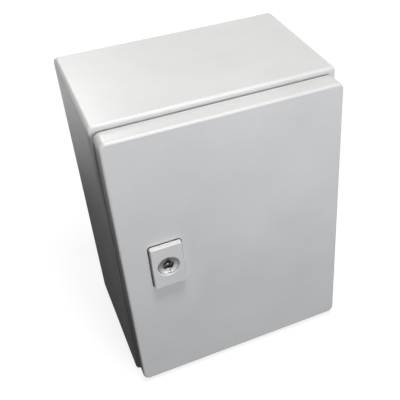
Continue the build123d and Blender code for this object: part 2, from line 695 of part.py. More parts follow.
TERMINAL_PITCH = 6.2
TERMINAL_X0 = 10.0
TERMINAL_COUNT = 11
END_STOP_W = 7.0


def terminal_outline(z):
    """The side outline of a feed-through terminal, as (y, z) points."""
    return [
        (DEVICE_REAR_Y, z - 22), (-36, z - 22), (-46, z - 16), (-58, z - 11),
        (-58, z + 11), (-46, z + 16), (-36, z + 22), (DEVICE_REAR_Y, z + 22),
    ]


def one_terminal(x):
    """A terminal with a wire funnel at each end and a screw well over each."""
    z = LOWER_RAIL_Z
    x1 = x + TERMINAL_PITCH - 0.1
    body = side_profile(terminal_outline(z), x, x1) - rail_recess(z, x, x1)
    middle = (x + x1) / 2
    for s in (-1, 1):
        body -= rod(middle, z + s * 6.5, 4.4, -48, -59)
        body -= block(middle - 2, middle + 2, -41, -37, *sorted((z + s * 15, z + s * 24)))
    return body


def terminal_blocks():
    """The row of grey terminals for the signal lamps' cables."""
    return group([one_terminal(TERMINAL_X0 + i * TERMINAL_PITCH) for i in range(TERMINAL_COUNT)])


def earth_terminals():
    """Two earth terminals at the end of the row."""
    first = TERMINAL_X0 + TERMINAL_COUNT * TERMINAL_PITCH
    return group([one_terminal(first + i * TERMINAL_PITCH) for i in range(2)])


def terminal_screws():
    """The clamp screws at the bottom of the terminals' wells."""
    z = LOWER_RAIL_Z
    screws = []
    for i in range(TERMINAL_COUNT + 2):
        x = TERMINAL_X0 + i * TERMINAL_PITCH + (TERMINAL_PITCH - 0.1) / 2
        for s in (-1, 1):
            zc = z + s * 6.5
            slot = block(x - 1.8, x + 1.8, -52, -50.6, zc - 0.4, zc + 0.4)
            screws.append(rod(x, zc, 4.2, -48, -51.4) - slot)
    return group(screws)


def end_stops():
    """Clamps on the rail at both ends of the terminals."""
    z = LOWER_RAIL_Z
    last = TERMINAL_X0 + (TERMINAL_COUNT + 2) * TERMINAL_PITCH
    made = []
    for x in (TERMINAL_X0 - END_STOP_W - 0.1, last):
        points = [
            (DEVICE_REAR_Y, z - 21), (-38, z - 21), (-44, z - 12), (-44, z + 12),
            (-38, z + 21), (DEVICE_REAR_Y, z + 21),
        ]
        stop = side_profile(points, x, x + END_STOP_W) - rail_recess(z, x, x + END_STOP_W)
        stop -= rod(x + END_STOP_W / 2, z, 4.0, -40, -45)
        made.append(stop)
    return group(made)


CONTROLLER_SPLIT_Y = -38.0
CONTROLLER_FRONT_Y = -62.0
DISPLAY_X, DISPLAY_Z = -53.0, CONTROLLER_Z + 20.0
DISPLAY_W, DISPLAY_H = 66.0, 30.0
BUTTON_XS = (-77.0, -53.0, -29.0)
BUTTON_Z = CONTROLLER_Z - 12.0
BUTTON_W, BUTTON_H = 13.0, 9.0
LAMP_XS = (10.0, 28.0, 46.0, 64.0)
LAMP_ROWS = {"red": 31.0, "amber": 20.0, "green": 9.0}
LAMP_D = 5.0
SWITCH_X, SWITCH_Z = 86.0, CONTROLLER_Z + 18.0
SWITCH_TILT = 14.0
HEADER_Z = CONTROLLER_Z - 35.0


def controller_base():
    """The rear half of the controller's case, screwed to the mounting plate by its ears."""
    z0, z1 = CONTROLLER_Z - CONTROLLER_H / 2, CONTROLLER_Z + CONTROLLER_H / 2
    half = CONTROLLER_W / 2 - 8
    base = block(-half, half, CONTROLLER_SPLIT_Y, PLATE_Y, z0, z1)
    for s in (-1, 1):
        for z in (z0 + 12, z1 - 12):
            x0, x1 = sorted((s * half, s * (half + 8)))
            ear = block(x0, x1, PLATE_Y - 3, PLATE_Y, z - 6, z + 6)
            base += ear - rod(s * (half + 4), z, 4.2, 0, -30)
    return base


def controller_screws():
    """Four screws through the controller's ears."""
    z0, z1 = CONTROLLER_Z - CONTROLLER_H / 2, CONTROLLER_Z + CONTROLLER_H / 2
    screws = []
    for s in (-1, 1):
        for z in (z0 + 12, z1 - 12):
            x = s * (CONTROLLER_W / 2 - 4)
            head = rod(x, z, 7.0, PLATE_Y - 3, PLATE_Y - 5.4)
            head = chamfer(head.faces().sort_by(Axis.Y)[0].edges(), 0.7)
            slot = block(x - 4, x + 4, PLATE_Y - 6, PLATE_Y - 4.4, z - 0.5, z + 0.5)
            screws.append(head + rod(x, z, 4.0, PLATE_Y, PLATE_Y - 3) - slot)
    return group(screws)


def controller_cover():
    """The front half of the case: a moulded shell with openings for display, buttons and lamps."""
    z0, z1 = CONTROLLER_Z - CONTROLLER_H / 2, CONTROLLER_Z + CONTROLLER_H / 2
    half = CONTROLLER_W / 2 - 8
    step = z0 + 20
    points = [
        (CONTROLLER_SPLIT_Y, z0), (CONTROLLER_SPLIT_Y - 6, z0), (CONTROLLER_SPLIT_Y - 6, step),
        (CONTROLLER_FRONT_Y, step + 3), (CONTROLLER_FRONT_Y, z1), (CONTROLLER_SPLIT_Y, z1),
    ]
    cover = side_profile(points, -half, half)
    top_edges = [
        edge
        for edge in cover.faces().sort_by(Axis.Y)[0].edges()
        if abs(edge.center().Z - (step + 3)) > 0.1
    ]
    cover = fillet(top_edges, 3.0)
    inner = block(
        -half + 2.5, half - 2.5, CONTROLLER_FRONT_Y + 2.5, CONTROLLER_SPLIT_Y + 1, step + 4, z1 - 2.5
    )
    cover -= inner
    window = Pos(DISPLAY_X, DISPLAY_Z) * RectangleRounded(DISPLAY_W, DISPLAY_H, 2)
    cover -= slab(window, CONTROLLER_FRONT_Y + 4, CONTROLLER_FRONT_Y - 1)
    for x in BUTTON_XS:
        hole = Pos(x, BUTTON_Z) * RectangleRounded(BUTTON_W + 0.8, BUTTON_H + 0.8, 2.4)
        cover -= slab(hole, CONTROLLER_FRONT_Y + 4, CONTROLLER_FRONT_Y - 1)
    for x in LAMP_XS:
        for up in LAMP_ROWS.values():
            cover -= rod(x, CONTROLLER_Z + up, LAMP_D, CONTROLLER_FRONT_Y + 4, CONTROLLER_FRONT_Y - 1)
    return cover - rod(SWITCH_X, SWITCH_Z, 6.4, CONTROLLER_FRONT_Y + 4, CONTROLLER_FRONT_Y - 1)


def display_window():
    """The display's clear window, flush in the cover, with the panel behind it."""
    pane = Pos(DISPLAY_X, DISPLAY_Z) * RectangleRounded(DISPLAY_W, DISPLAY_H, 2)
    panel = Pos(DISPLAY_X, DISPLAY_Z) * Rectangle(DISPLAY_W + 6, DISPLAY_H + 6)
    front = slab(pane, CONTROLLER_FRONT_Y + 2.5, CONTROLLER_FRONT_Y + 0.6)
    return front + slab(panel, CONTROLLER_FRONT_Y + 5.5, CONTROLLER_FRONT_Y + 2.5)


def signal_lamps(up):
    """A row of four indicator lamps, one for each signal group, with domed fronts and a flange."""
    lamps = []
    for x in LAMP_XS:
        z = CONTROLLER_Z + up
        body = rod(x, z, LAMP_D, CONTROLLER_FRONT_Y + 2.5, CONTROLLER_FRONT_Y - 2.2)
        body = chamfer(body.faces().sort_by(Axis.Y)[0].edges(), 1.4)
        lamps.append(body + rod(x, z, LAMP_D + 1, CONTROLLER_FRONT_Y + 5, CONTROLLER_FRONT_Y + 2.5))
    return group(lamps)


def panel_button(x):
    """A key cap with a flange behind the cover that keeps it in."""
    cap = slab(
        Pos(x, BUTTON_Z) * RectangleRounded(BUTTON_W, BUTTON_H, 2),
        CONTROLLER_FRONT_Y + 2.8,
        CONTROLLER_FRONT_Y - 2.2,
    )
    cap = chamfer(cap.faces().sort_by(Axis.Y)[0].edges(), 0.7)
    flange = Pos(x, BUTTON_Z) * RectangleRounded(BUTTON_W + 3, BUTTON_H + 3, 2)
    return cap + slab(flange, CONTROLLER_FRONT_Y + 4.4, CONTROLLER_FRONT_Y + 2.8)


def switch_bush():
    """The mode switch's threaded bush and nut on the cover."""
    place = Pos(SWITCH_X, SWITCH_Z)
    well = Circle(3.1) - Circle(2.3)
    bush = slab(place * well, CONTROLLER_FRONT_Y + 9, CONTROLLER_FRONT_Y - 5)
    nut_outline = RegularPolygon(4.5, 6, major_radius=False) - Circle(2.7)
    nut = slab(place * nut_outline, CONTROLLER_FRONT_Y, CONTROLLER_FRONT_Y - 2)
    body_outline = Rectangle(10, 14) - Circle(2.7)
    return bush + nut + slab(place * body_outline, CONTROLLER_FRONT_Y + 9, CONTROLLER_FRONT_Y + 3)


def switch_lever():
    """The bat lever of the mode switch. At rest it points up, to automatic."""
    bat = Cone(1.0, 1.7, 13, align=(Align.CENTER, Align.CENTER, Align.MIN))
    tip = Pos(0, 0, 13) * Sphere(1.7)
    ball = Sphere(2.0)
    lever = ball + bat + tip
    place = Pos(SWITCH_X, CONTROLLER_FRONT_Y - 2.5, SWITCH_Z)
    return place * Rot(90 - SWITCH_TILT, 0, 0) * lever


def controller_headers():
    """Two rows of plug-in cable connectors on the controller's lower step."""
    made = []
    for x0, count in ((-88.0, 14), (8.0, 14)):
        pitch = 5.4
        x1 = x0 + count * pitch
        body = block(x0, x1, CONTROLLER_SPLIT_Y - 20, CONTROLLER_SPLIT_Y - 6, HEADER_Z - 6, HEADER_Z + 6)
        for i in range(count):
            x = x0 + (i + 0.5) * pitch
            body -= rod(x, HEADER_Z + 2.4, 3.6, CONTROLLER_SPLIT_Y - 18.4, CONTROLLER_SPLIT_Y - 21)
            body -= block(
                x - 1.7, x + 1.7, CONTROLLER_SPLIT_Y - 16, CONTROLLER_SPLIT_Y - 10,
                HEADER_Z - 7, HEADER_Z - 2,
            )
        made.append(body)
    return group(made)


def parts():
    """Every node's name with its solid."""
    made = {
        "cabinet_shell": cabinet_shell(),
        "door_panel": door_panel(),
        "door_gasket": door_gasket(),
        "hinge_arm_upper": hinge_arm(HINGE_Z),
        "hinge_arm_lower": hinge_arm(-HINGE_Z),
        "hinge_arm_screws": hinge_arm_screws(),
        "hinge_leaf_upper": hinge_leaf(HINGE_Z),
        "hinge_leaf_lower": hinge_leaf(-HINGE_Z),
        "hinge_pin_upper": hinge_pin(HINGE_Z),
        "hinge_pin_lower": hinge_pin(-HINGE_Z),
        "lock_case": lock_case(),
        "lock_seal": lock_seal(),
        "lock_barrel": lock_barrel(),
        "key_pin": key_pin(),
        "lock_nut": lock_nut(),
        "lock_cam": lock_cam(),
        "cam_screw": cam_screw(),
        "door_earth_stud": door_earth_stud(),
        "body_earth_stud": body_earth_stud(),
        "gland_gasket": gland_gasket(),
        "gland_plate": gland_plate(),
        "gland_studs": gland_studs(),
        "gland_nuts": gland_nuts(),
        "mounting_plate_studs": mounting_plate_studs(),
        "mounting_plate": mounting_plate(),
        "mounting_plate_nuts": mounting_plate_nuts(),
        "rail_screws": rail_screws(),
        "breaker_case": breaker_case(),
        "breaker_screws": breaker_screws(),
        "breaker_lever": breaker_lever(),
        "surge_base": surge_base(),
        "surge_cartridges": surge_cartridges(),
        "power_supply": power_supply(),
        "supply_terminals": supply_terminals(),
        "relay_sockets": relay_sockets(),
        "relays": relays(),
        "terminal_blocks": terminal_blocks(),
        "earth_terminals": earth_terminals(),
        "terminal_screws": terminal_screws(),
        "end_stops": end_stops(),
        "controller_base": controller_base(),
        "controller_screws": controller_screws(),
        "controller_cover": controller_cover(),
        "controller_headers": controller_headers(),
        "display_window": display_window(),
        "switch_bush": switch_bush(),
        "switch_lever": switch_lever(),
    }
    for place, z in (("upper", UPPER_RAIL_Z), ("lower", LOWER_RAIL_Z)):
        made[f"din_rail_{place}"] = din_rail(z)
    for place, z in (("upper", UPPER_DUCT_Z), ("lower", LOWER_DUCT_Z)):
        made[f"duct_{place}"] = wire_duct(z)
        made[f"duct_cover_{place}"] = duct_cover(z)
    for colour, up in LAMP_ROWS.items():
        made[f"lamps_{colour}"] = signal_lamps(up)
    for name, x in zip(("menu", "test", "reset"), BUTTON_XS):
        made[f"button_{name}"] = panel_button(x)
    return made


os.makedirs("parts", exist_ok=True)
for node, shape in parts().items():
    export_step(shape, f"parts/{node}.step")
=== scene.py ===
# %% [markdown]
# # A wall cabinet for a small traffic signal controller
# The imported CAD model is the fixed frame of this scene: it is loaded first, and every piece
# that follows rides on one of its bodies. All lengths are in metres. X runs to the right,
# Y back into the wall and Z up, so the door faces the viewer.

# %% Load the frame
from math import pi, radians

import bpy
import numpy as np
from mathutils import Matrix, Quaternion, Vector


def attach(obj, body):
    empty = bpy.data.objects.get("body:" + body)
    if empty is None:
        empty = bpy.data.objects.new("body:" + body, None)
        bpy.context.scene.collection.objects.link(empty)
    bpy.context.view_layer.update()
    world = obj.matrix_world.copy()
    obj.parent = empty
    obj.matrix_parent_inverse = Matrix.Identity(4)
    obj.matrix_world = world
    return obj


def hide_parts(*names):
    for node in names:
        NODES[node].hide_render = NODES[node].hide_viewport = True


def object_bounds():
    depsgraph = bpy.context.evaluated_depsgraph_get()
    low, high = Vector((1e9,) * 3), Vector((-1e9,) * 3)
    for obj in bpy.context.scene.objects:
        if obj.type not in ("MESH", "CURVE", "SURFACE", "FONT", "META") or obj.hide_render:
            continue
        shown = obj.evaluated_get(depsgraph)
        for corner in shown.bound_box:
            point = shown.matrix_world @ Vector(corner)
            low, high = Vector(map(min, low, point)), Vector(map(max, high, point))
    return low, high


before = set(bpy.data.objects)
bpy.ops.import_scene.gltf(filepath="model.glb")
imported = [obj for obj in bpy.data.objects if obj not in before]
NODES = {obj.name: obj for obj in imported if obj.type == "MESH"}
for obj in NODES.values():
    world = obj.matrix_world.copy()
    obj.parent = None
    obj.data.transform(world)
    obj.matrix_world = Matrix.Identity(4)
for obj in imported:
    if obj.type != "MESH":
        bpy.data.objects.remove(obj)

CAD_BOX = [list(map(float, corner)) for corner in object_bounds()]
MM = 0.001
print("nodes:", len(NODES), "box:", CAD_BOX)

# %% [markdown]
# ## The camera
# A camera is told by where it stands, what it looks at, how far it is rolled over and how
# long its lens is. These values were fitted to the straight edges of the real cabinet. The
# small shift slides the picture inside the frame without turning the camera.

# %% Camera
EYE = Vector((-0.2271, -0.8184, 0.5840))
AIM = Vector((0.0725, -0.1225, 0.0169))
ROLL = -1.982
LENS = 61.93
SHIFT = (-0.15, -0.05)

camera_data = bpy.data.cameras.new("camera")
camera = bpy.data.objects.new("camera", camera_data)
bpy.context.scene.collection.objects.link(camera)
camera_data.lens = LENS
camera_data.shift_x, camera_data.shift_y = SHIFT
camera.location = EYE
camera.rotation_mode = "QUATERNION"
level = (AIM - EYE).to_track_quat("-Z", "Y")
camera.rotation_quaternion = level @ Quaternion((0, 0, 1), radians(ROLL))
bpy.context.scene.camera = camera
print("camera at", tuple(round(c, 3) for c in EYE))

# %% [markdown]
# ## Small tools for materials
# A material is a graph of shader nodes. One function adds a node with its settings and its
# links, and one turns a colour written as a hex value into the linear numbers that a
# renderer adds up. Nearly every finish varies its colour, its gloss and its relief, each by
# a pattern, so a third function ties three patterns to those.

# %% Material tools


def linear(code, alpha=1.0):
    """An sRGB hex colour as linear RGBA: c / 12.92 near black, else ((c + 0.055) / 1.055) ** 2.4."""
    channels = [int(code[i:i + 2], 16) / 255 for i in (1, 3, 5)]
    return [c / 12.92 if c <= 0.04045 else ((c + 0.055) / 1.055) ** 2.4 for c in channels] + [alpha]


def add(tree, kind, inputs=None, **settings):
    """A node of that kind. An input's value is a number, a colour or another node's output."""
    made = tree.nodes.new("ShaderNode" + kind)
    for name, value in settings.items():
        setattr(made, name, value)
    for name, value in (inputs or {}).items():
        if isinstance(value, bpy.types.NodeSocket):
            tree.links.new(value, made.inputs[name])
        else:
            made.inputs[name].default_value = value
    return made


MIX_FIRST, MIX_SECOND, MIX_COLOUR = 6, 7, 2


def surface(tree, shader, tone, stops, wear, gloss, height, bite, depth):
    """Colour, roughness and relief of the shader, from three patterns that run from 0 to 1.

    The colour runs through the (place, hex) stops by tone, and the roughness from the first to
    the second number of gloss by wear. height is relief depth metres deep, of which bite shows.
    """
    tint = add(tree, "ValToRGB", {"Fac": tone})
    elements = tint.color_ramp.elements
    while len(elements) < len(stops):
        elements.new(0.5)
    for element, (place, code) in zip(elements, stops):
        element.position = place
        element.color = linear(code)
    rough = add(tree, "MapRange", {"Value": wear, "To Min": gloss[0], "To Max": gloss[1]})
    bump = add(tree, "Bump", {"Height": height, "Strength": bite, "Distance": depth})
    tree.links.new(tint.outputs["Color"], shader.inputs["Base Color"])
    tree.links.new(rough.outputs["Result"], shader.inputs["Roughness"])
    tree.links.new(bump.outputs["Normal"], shader.inputs["Normal"])


def start(name):
    """A new material with its tree, its principled shader and its object coordinates."""
    material = bpy.data.materials.new(name)
    material.use_nodes = True
    tree = material.node_tree
    tree.nodes.clear()
    shader = add(tree, "BsdfPrincipled")
    add(tree, "OutputMaterial", {"Surface": shader.outputs["BSDF"]})
    place = add(tree, "TexCoord").outputs["Object"]
    return material, tree, shader, place


DRESSED = set()


def dress(node, material):
    """A CAD node, told by its name, or a new piece wears the material."""
    if isinstance(node, str):
        DRESSED.add(node)
        node = NODES[node]
    node.data.materials.clear()
    node.data.materials.append(material)


# %% [markdown]
# ## Powder coat on steel
# The shell and the door are folded steel, dusted with dry polyester powder and baked. The
# powder melts into a skin about 0.08 mm thick that is never quite level: the eye sees a
# fine orange peel, a satin gloss and hardly any change of colour. A noise of 1.4 mm, a
# little coarser than the real 1 mm so that it shows, gives the peel, and a broad one gives
# the slight haze of handling.

# %% Powder coat


def powder_coat(name, light, dark, gloss=(0.34, 0.46), peel=1.4):
    """Baked polyester powder: colour from dark to light, roughness over gloss, peel in mm."""
    material, tree, shader, place = start(name)
    haze = add(tree, "TexNoise", {"Vector": place, "Scale": 9.0, "Detail": 5.0, "Roughness": 0.62})
    grain = add(tree, "TexNoise", {"Vector": place, "Scale": 1 / (peel * MM), "Detail": 2.0})
    rub = add(tree, "TexNoise", {"Vector": place, "Scale": 34.0, "Detail": 6.0, "Roughness": 0.7})
    wear = add(tree, "Math", {0: haze.outputs["Fac"], 1: rub.outputs["Fac"]}, operation="MULTIPLY")
    surface(tree, shader, haze.outputs["Fac"], [(0.3, dark), (0.7, light)],
            wear.outputs[0], gloss, grain.outputs["Fac"], bite=0.10, depth=0.0002)
    shader.inputs["Coat Weight"].default_value = 0.15
    shader.inputs["Coat Roughness"].default_value = 0.25
    return material


CABINET_PAINT = powder_coat("powder_coated_steel", "#d6d6d5", "#cdcdcc")
for node in ("cabinet_shell", "door_panel"):
    dress(node, CABINET_PAINT)
LOCK_PAINT = powder_coat("powder_coated_zinc_casting", "#dadad9", "#d1d1d0", peel=1.0)
dress("lock_case", LOCK_PAINT)
print("paint on shell, door and lock")

# %% [markdown]
# ## Zinc, in three forms
# Small steel parts are zinc plated: a thin, bright layer with a faint blue and straw cast,
# since the passivation film is as thin as a soap bubble's. The mounting plate and the gland
# plate are cut from hot dipped sheet, where the zinc froze in flat crystals 5 to 10 mm
# wide, the spangle, each with its own tone. Rails are rolled from plated strip, so their
# fine lines run along the rolling direction.

# %% Plated steel


def zinc_plated(name, cool, straw, gloss, line=(1, 1, 1), grain=0.9):
    """Plated steel: a metal whose tint drifts from cool to straw. line stretches the grain in x, y, z."""
    material, tree, shader, place = start(name)
    stretched = add(tree, "Mapping", {"Vector": place, "Scale": line}).outputs["Vector"]
    film = add(tree, "TexNoise", {"Vector": place, "Scale": 90.0, "Detail": 3.0})
    marks = add(tree, "TexNoise", {"Vector": stretched, "Scale": 1 / (grain * MM), "Detail": 4.0})
    surface(tree, shader, film.outputs["Fac"], [(0.35, cool), (0.65, straw)],
            marks.outputs["Fac"], gloss, marks.outputs["Fac"], bite=0.12, depth=0.0001)
    shader.inputs["Metallic"].default_value = 1.0
    return material


BRIGHT_ZINC = zinc_plated("zinc_plated_steel", "#c3c8ce", "#d2cfc4", (0.24, 0.42))
ROLLED_ZINC = zinc_plated("rolled_zinc_plated_strip", "#b9bdc2", "#c6c4bb", (0.22, 0.46), line=(0.03, 1, 1))
PRESSED_ZINC = zinc_plated("pressed_zinc_plated_steel", "#b3b7bb", "#c1beb4", (0.3, 0.5), grain=1.6)
for node in ("cam_screw", "key_pin", "hinge_arm_screws", "hinge_pin_upper", "hinge_pin_lower", "rail_screws",
             "controller_screws", "breaker_screws", "terminal_screws"):
    dress(node, BRIGHT_ZINC)
for node in ("hinge_arm_upper", "hinge_arm_lower", "hinge_leaf_upper", "hinge_leaf_lower", "lock_cam"):
    dress(node, PRESSED_ZINC)
for node in ("din_rail_upper", "din_rail_lower"):
    dress(node, ROLLED_ZINC)
print("three zinc finishes")

# %% Galvanised sheet


def galvanised(name, spangle=7.0):
    """Hot dipped zinc: each crystal of a Voronoi pattern, spangle mm wide, has its own tone and gloss."""
    material, tree, shader, place = start(name)
    crystals = add(tree, "TexVoronoi", {"Vector": place, "Scale": 1 / (spangle * MM)})
    tone = add(tree, "SeparateColor", {"Color": crystals.outputs["Color"]}).outputs["Red"]
    frost = add(tree, "TexNoise", {"Vector": place, "Scale": 260.0, "Detail": 4.0})
    both = add(tree, "Math", {0: tone, 1: frost.outputs["Fac"]}, operation="ADD").outputs[0]
    mean = add(tree, "Math", {0: both, 1: 0.5}, operation="MULTIPLY").outputs[0]
    surface(tree, shader, tone, [(0.0, "#a4a8ab"), (0.5, "#b4b8ba"), (1.0, "#c4c6c6")],
            mean, (0.3, 0.6), frost.outputs["Fac"], bite=0.1, depth=0.0001)
    shader.inputs["Metallic"].default_value = 0.92
    return material


GALVANISED = galvanised("hot_dipped_zinc_sheet")
dress("mounting_plate", GALVANISED)
dress("gland_plate", GALVANISED)
print("galvanised plates")

# %% [markdown]
# ## Moulded and extruded plastics
# Housings are moulded in tools whose walls are eroded to a fine matt grain, so the light
# on them breaks up softly. The grain is about 0.1 mm, too fine to show here, and is drawn
# at 0.7 mm. The wiring ducts are extruded PVC, and the die leaves long faint lines along
# them. One function makes both: the lines are the grain stretched along X.

# %% Plastics


def plastic(name, light, dark, gloss, grain=0.7, line=(1, 1, 1), bite=0.16, ior=1.5):
    """Moulded or extruded plastic: colour from dark to light, roughness over gloss, grain in mm."""
    material, tree, shader, place = start(name)
    stretched = add(tree, "Mapping", {"Vector": place, "Scale": line}).outputs["Vector"]
    cloud = add(tree, "TexNoise", {"Vector": place, "Scale": 40.0, "Detail": 4.0})
    skin = add(tree, "TexNoise", {"Vector": stretched, "Scale": 1 / (grain * MM), "Detail": 2.0})
    surface(tree, shader, cloud.outputs["Fac"], [(0.3, dark), (0.7, light)],
            skin.outputs["Fac"], gloss, skin.outputs["Fac"], bite, depth=0.00012)
    shader.inputs["IOR"].default_value = ior
    return material


PLASTICS = {
    "moulded_polyamide_light_grey": (("#d9d9d6", "#cfcfcb", (0.42, 0.6)), ("breaker_case", "surge_base")),
    "moulded_polyamide_black": (("#26272a", "#1c1d1f", (0.4, 0.58)), ("breaker_lever", "supply_terminals")),
    "moulded_polyamide_red": (("#b03a28", "#9c2f20", (0.38, 0.55)), ("surge_cartridges",)),
    "moulded_polyester_charcoal": (("#3a3b3e", "#2f3033", (0.42, 0.6)), ("relay_sockets",)),
    "moulded_polyamide_grey": (("#a9aaa7", "#9c9d99", (0.45, 0.62)), ("terminal_blocks", "end_stops")),
    "moulded_abs_grey": (("#c4c6c7", "#b9bbbc", (0.42, 0.58)), ("controller_cover",)),
    "moulded_abs_charcoal": (("#45474b", "#3a3c40", (0.45, 0.6)), ("controller_base",)),
    "moulded_polyamide_green": (("#3f9a52", "#348746", (0.36, 0.52)), ("controller_headers",)),
}
for name, ((light, dark, gloss), wearers) in PLASTICS.items():
    made = plastic(name, light, dark, gloss)
    for node in wearers:
        dress(node, made)
SILICONE = plastic("moulded_silicone_grey", "#4d5661", "#424a54", (0.55, 0.72), grain=0.5, ior=1.41)
for node in ("button_menu", "button_test", "button_reset"):
    dress(node, SILICONE)
EXTRUDED = plastic(
    "extruded_pvc_grey", "#adb1b3", "#a2a6a8", (0.38, 0.56), grain=1.1, line=(0.02, 1, 1), bite=0.22
)
for node in ("duct_upper", "duct_lower", "duct_cover_upper", "duct_cover_lower"):
    dress(node, EXTRUDED)
print(len(PLASTICS) + 2, "plastics")

# %% [markdown]
# ## Earth terminals
# An earth terminal is known by its two colours: one half of the moulding is green and the
# other yellow. The border is a plain step in height, read from the object coordinates.

# %% Two colour moulding
EARTH_BORDER_Z = -0.127
material, tree, shader, place = start("moulded_polyamide_green_yellow")
height = add(tree, "SeparateXYZ", {"Vector": place}).outputs["Z"]
upper = add(tree, "Math", {0: height, 1: EARTH_BORDER_Z}, operation="GREATER_THAN").outputs[0]
skin = add(tree, "TexNoise", {"Vector": place, "Scale": 1400.0, "Detail": 2.0})
surface(tree, shader, upper, [(0.0, "#d8bf2c"), (1.0, "#3b8f3f")],
        skin.outputs["Fac"], (0.42, 0.58), skin.outputs["Fac"], bite=0.16, depth=0.00012)
dress("earth_terminals", material)
print("earth terminals")

# %% [markdown]
# ## Anodised and nickel plated metal
# The power supply's case is extruded aluminium, etched matt and anodised, which leaves an
# even soft metal. The mode switch is brass with a polished nickel plate, slightly warm.

# %% Anodised and nickel


def etched_metal(name, light, dark, gloss, grain, bite):
    """A metal with fine etching: grain in mm, roughness over gloss."""
    material, tree, shader, place = start(name)
    etch = add(tree, "TexNoise", {"Vector": place, "Scale": 1 / (grain * MM), "Detail": 3.0})
    surface(tree, shader, etch.outputs["Fac"], [(0.3, dark), (0.7, light)],
            etch.outputs["Fac"], gloss, etch.outputs["Fac"], bite, depth=0.00008)
    shader.inputs["Metallic"].default_value = 1.0
    return material


ANODISED = etched_metal("anodised_aluminium", "#aaadb0", "#9ea1a4", (0.5, 0.64), 0.6, 0.2)
NICKEL = etched_metal("nickel_plated_brass", "#d3ccc0", "#c8c1b5", (0.12, 0.26), 1.5, 0.05)
CAST_ZINC = etched_metal("die_cast_zinc", "#c6c6c6", "#b0b0b1", (0.34, 0.48), 0.8, 0.2)
dress("power_supply", ANODISED)
dress("switch_bush", NICKEL)
dress("switch_lever", NICKEL)
print("anodised, nickel and cast zinc")

# %% [markdown]
# ## The display
# The display is a liquid crystal panel, switched off, under a clear window. Off, it is a
# dull green grey in which the empty cells of the characters just show. The cells are
# 3.2 mm wide and 5.6 mm high, made by two square waves of the object coordinates.

# %% Liquid crystal panel
CELL_W, CELL_H, CELL_GAP = 3.2, 5.6, 0.12
material, tree, shader, place = start("liquid_crystal_behind_glass")
axes = add(tree, "SeparateXYZ", {"Vector": place})


def cells(tree, coordinate, size):
    """1 inside a cell and 0 on the line between cells: the fraction of coordinate / size."""
    share = add(tree, "Math", {0: coordinate, 1: size * MM}, operation="DIVIDE").outputs[0]
    share = add(tree, "Math", {0: share}, operation="FRACT").outputs[0]
    return add(tree, "Math", {0: share, 1: CELL_GAP}, operation="GREATER_THAN").outputs[0]


inside = add(
    tree, "Math",
    {0: cells(tree, axes.outputs["X"], CELL_W), 1: cells(tree, axes.outputs["Z"], CELL_H)},
    operation="MULTIPLY",
)
smear = add(tree, "TexNoise", {"Vector": place, "Scale": 60.0, "Detail": 4.0})
surface(tree, shader, inside.outputs[0], [(0.0, "#59604f"), (1.0, "#4d5446")],
        smear.outputs["Fac"], (0.04, 0.16), smear.outputs["Fac"], bite=0.04, depth=0.0002)
shader.inputs["Coat Weight"].default_value = 1.0
dress("display_window", material)
print("display")

# %% [markdown]
# ## Surfaces from numbers
# New pieces are grids of points: a row for each step of one parameter, a column for each
# step of the other. Neighbours in the grid become faces. A ring closes where its last
# column meets its first, and a pole is a row whose points fall together and are merged.

# %% Grid tools
import bmesh


def grid_faces(rows, columns, ring_rows=False):
    """The quads of a grid: point (i, j) with its right, upper right and upper neighbours.

    The last column always meets the first. With ring_rows the last row meets the first too.
    """
    i = np.arange(rows if ring_rows else rows - 1)[:, None]
    j = np.arange(columns)[None, :]
    up, right = (i + 1) % rows, (j + 1) % columns
    corners = [i * columns + j, i * columns + right, up * columns + right, up * columns + j]
    return np.stack(np.broadcast_arrays(*corners), -1).reshape(-1, 4)


def spun(profile, steps=32):
    """A profile of (radius, height) points turned about the height: (r cos a, r sin a, h)."""
    r, h = np.asarray(profile, float).T
    a = np.linspace(0, 2 * pi, steps, endpoint=False)
    points = np.stack(np.broadcast_arrays(
        r[:, None] * np.cos(a), r[:, None] * np.sin(a), h[:, None] + 0 * a), -1)
    return points.reshape(-1, 3), grid_faces(len(r), steps)


def joined(shapes):
    """Several (points, faces) pairs as one, the faces' numbers moved on by the points before."""
    points, faces, count = [], [], 0
    for p, f in shapes:
        points.append(p)
        faces.append(f + count)
        count += len(p)
    return np.concatenate(points), np.concatenate(faces)


FACING = {
    "-Y": np.array([[1, 0, 0], [0, 0, 1], [0, -1, 0]], float),
    "+Z": np.eye(3),
}


def placed(shape, spot, facing):
    """The shape with its height turned to the direction facing, and moved to spot, in mm."""
    points, faces = shape
    return points @ FACING[facing] + np.asarray(spot, float), faces


def piece(name, shape, body, material, replaces=(), crease=180):
    """A closed mesh object from (points in mm, faces), facing outwards and riding on body.

    Edges that turn by more than crease degrees stay sharp.
    """
    points, faces = shape
    mesh = bpy.data.meshes.new(name)
    mesh.from_pydata((points * MM).tolist(), [], faces.tolist())
    shell = bmesh.new()
    shell.from_mesh(mesh)
    bmesh.ops.remove_doubles(shell, verts=shell.verts, dist=1e-6)
    bmesh.ops.recalc_face_normals(shell, faces=shell.faces)
    shell.to_mesh(mesh)
    shell.free()
    mesh.polygons.foreach_set("use_smooth", np.full(len(mesh.polygons), True))
    mesh.set_sharp_from_angle(angle=radians(crease))
    made = bpy.data.objects.new(name, mesh)
    bpy.context.scene.collection.objects.link(made)
    dress(made, material)
    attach(made, body)
    if replaces:
        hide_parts(*replaces)
        DRESSED.update(replaces)
    print(name, len(mesh.polygons), "faces")
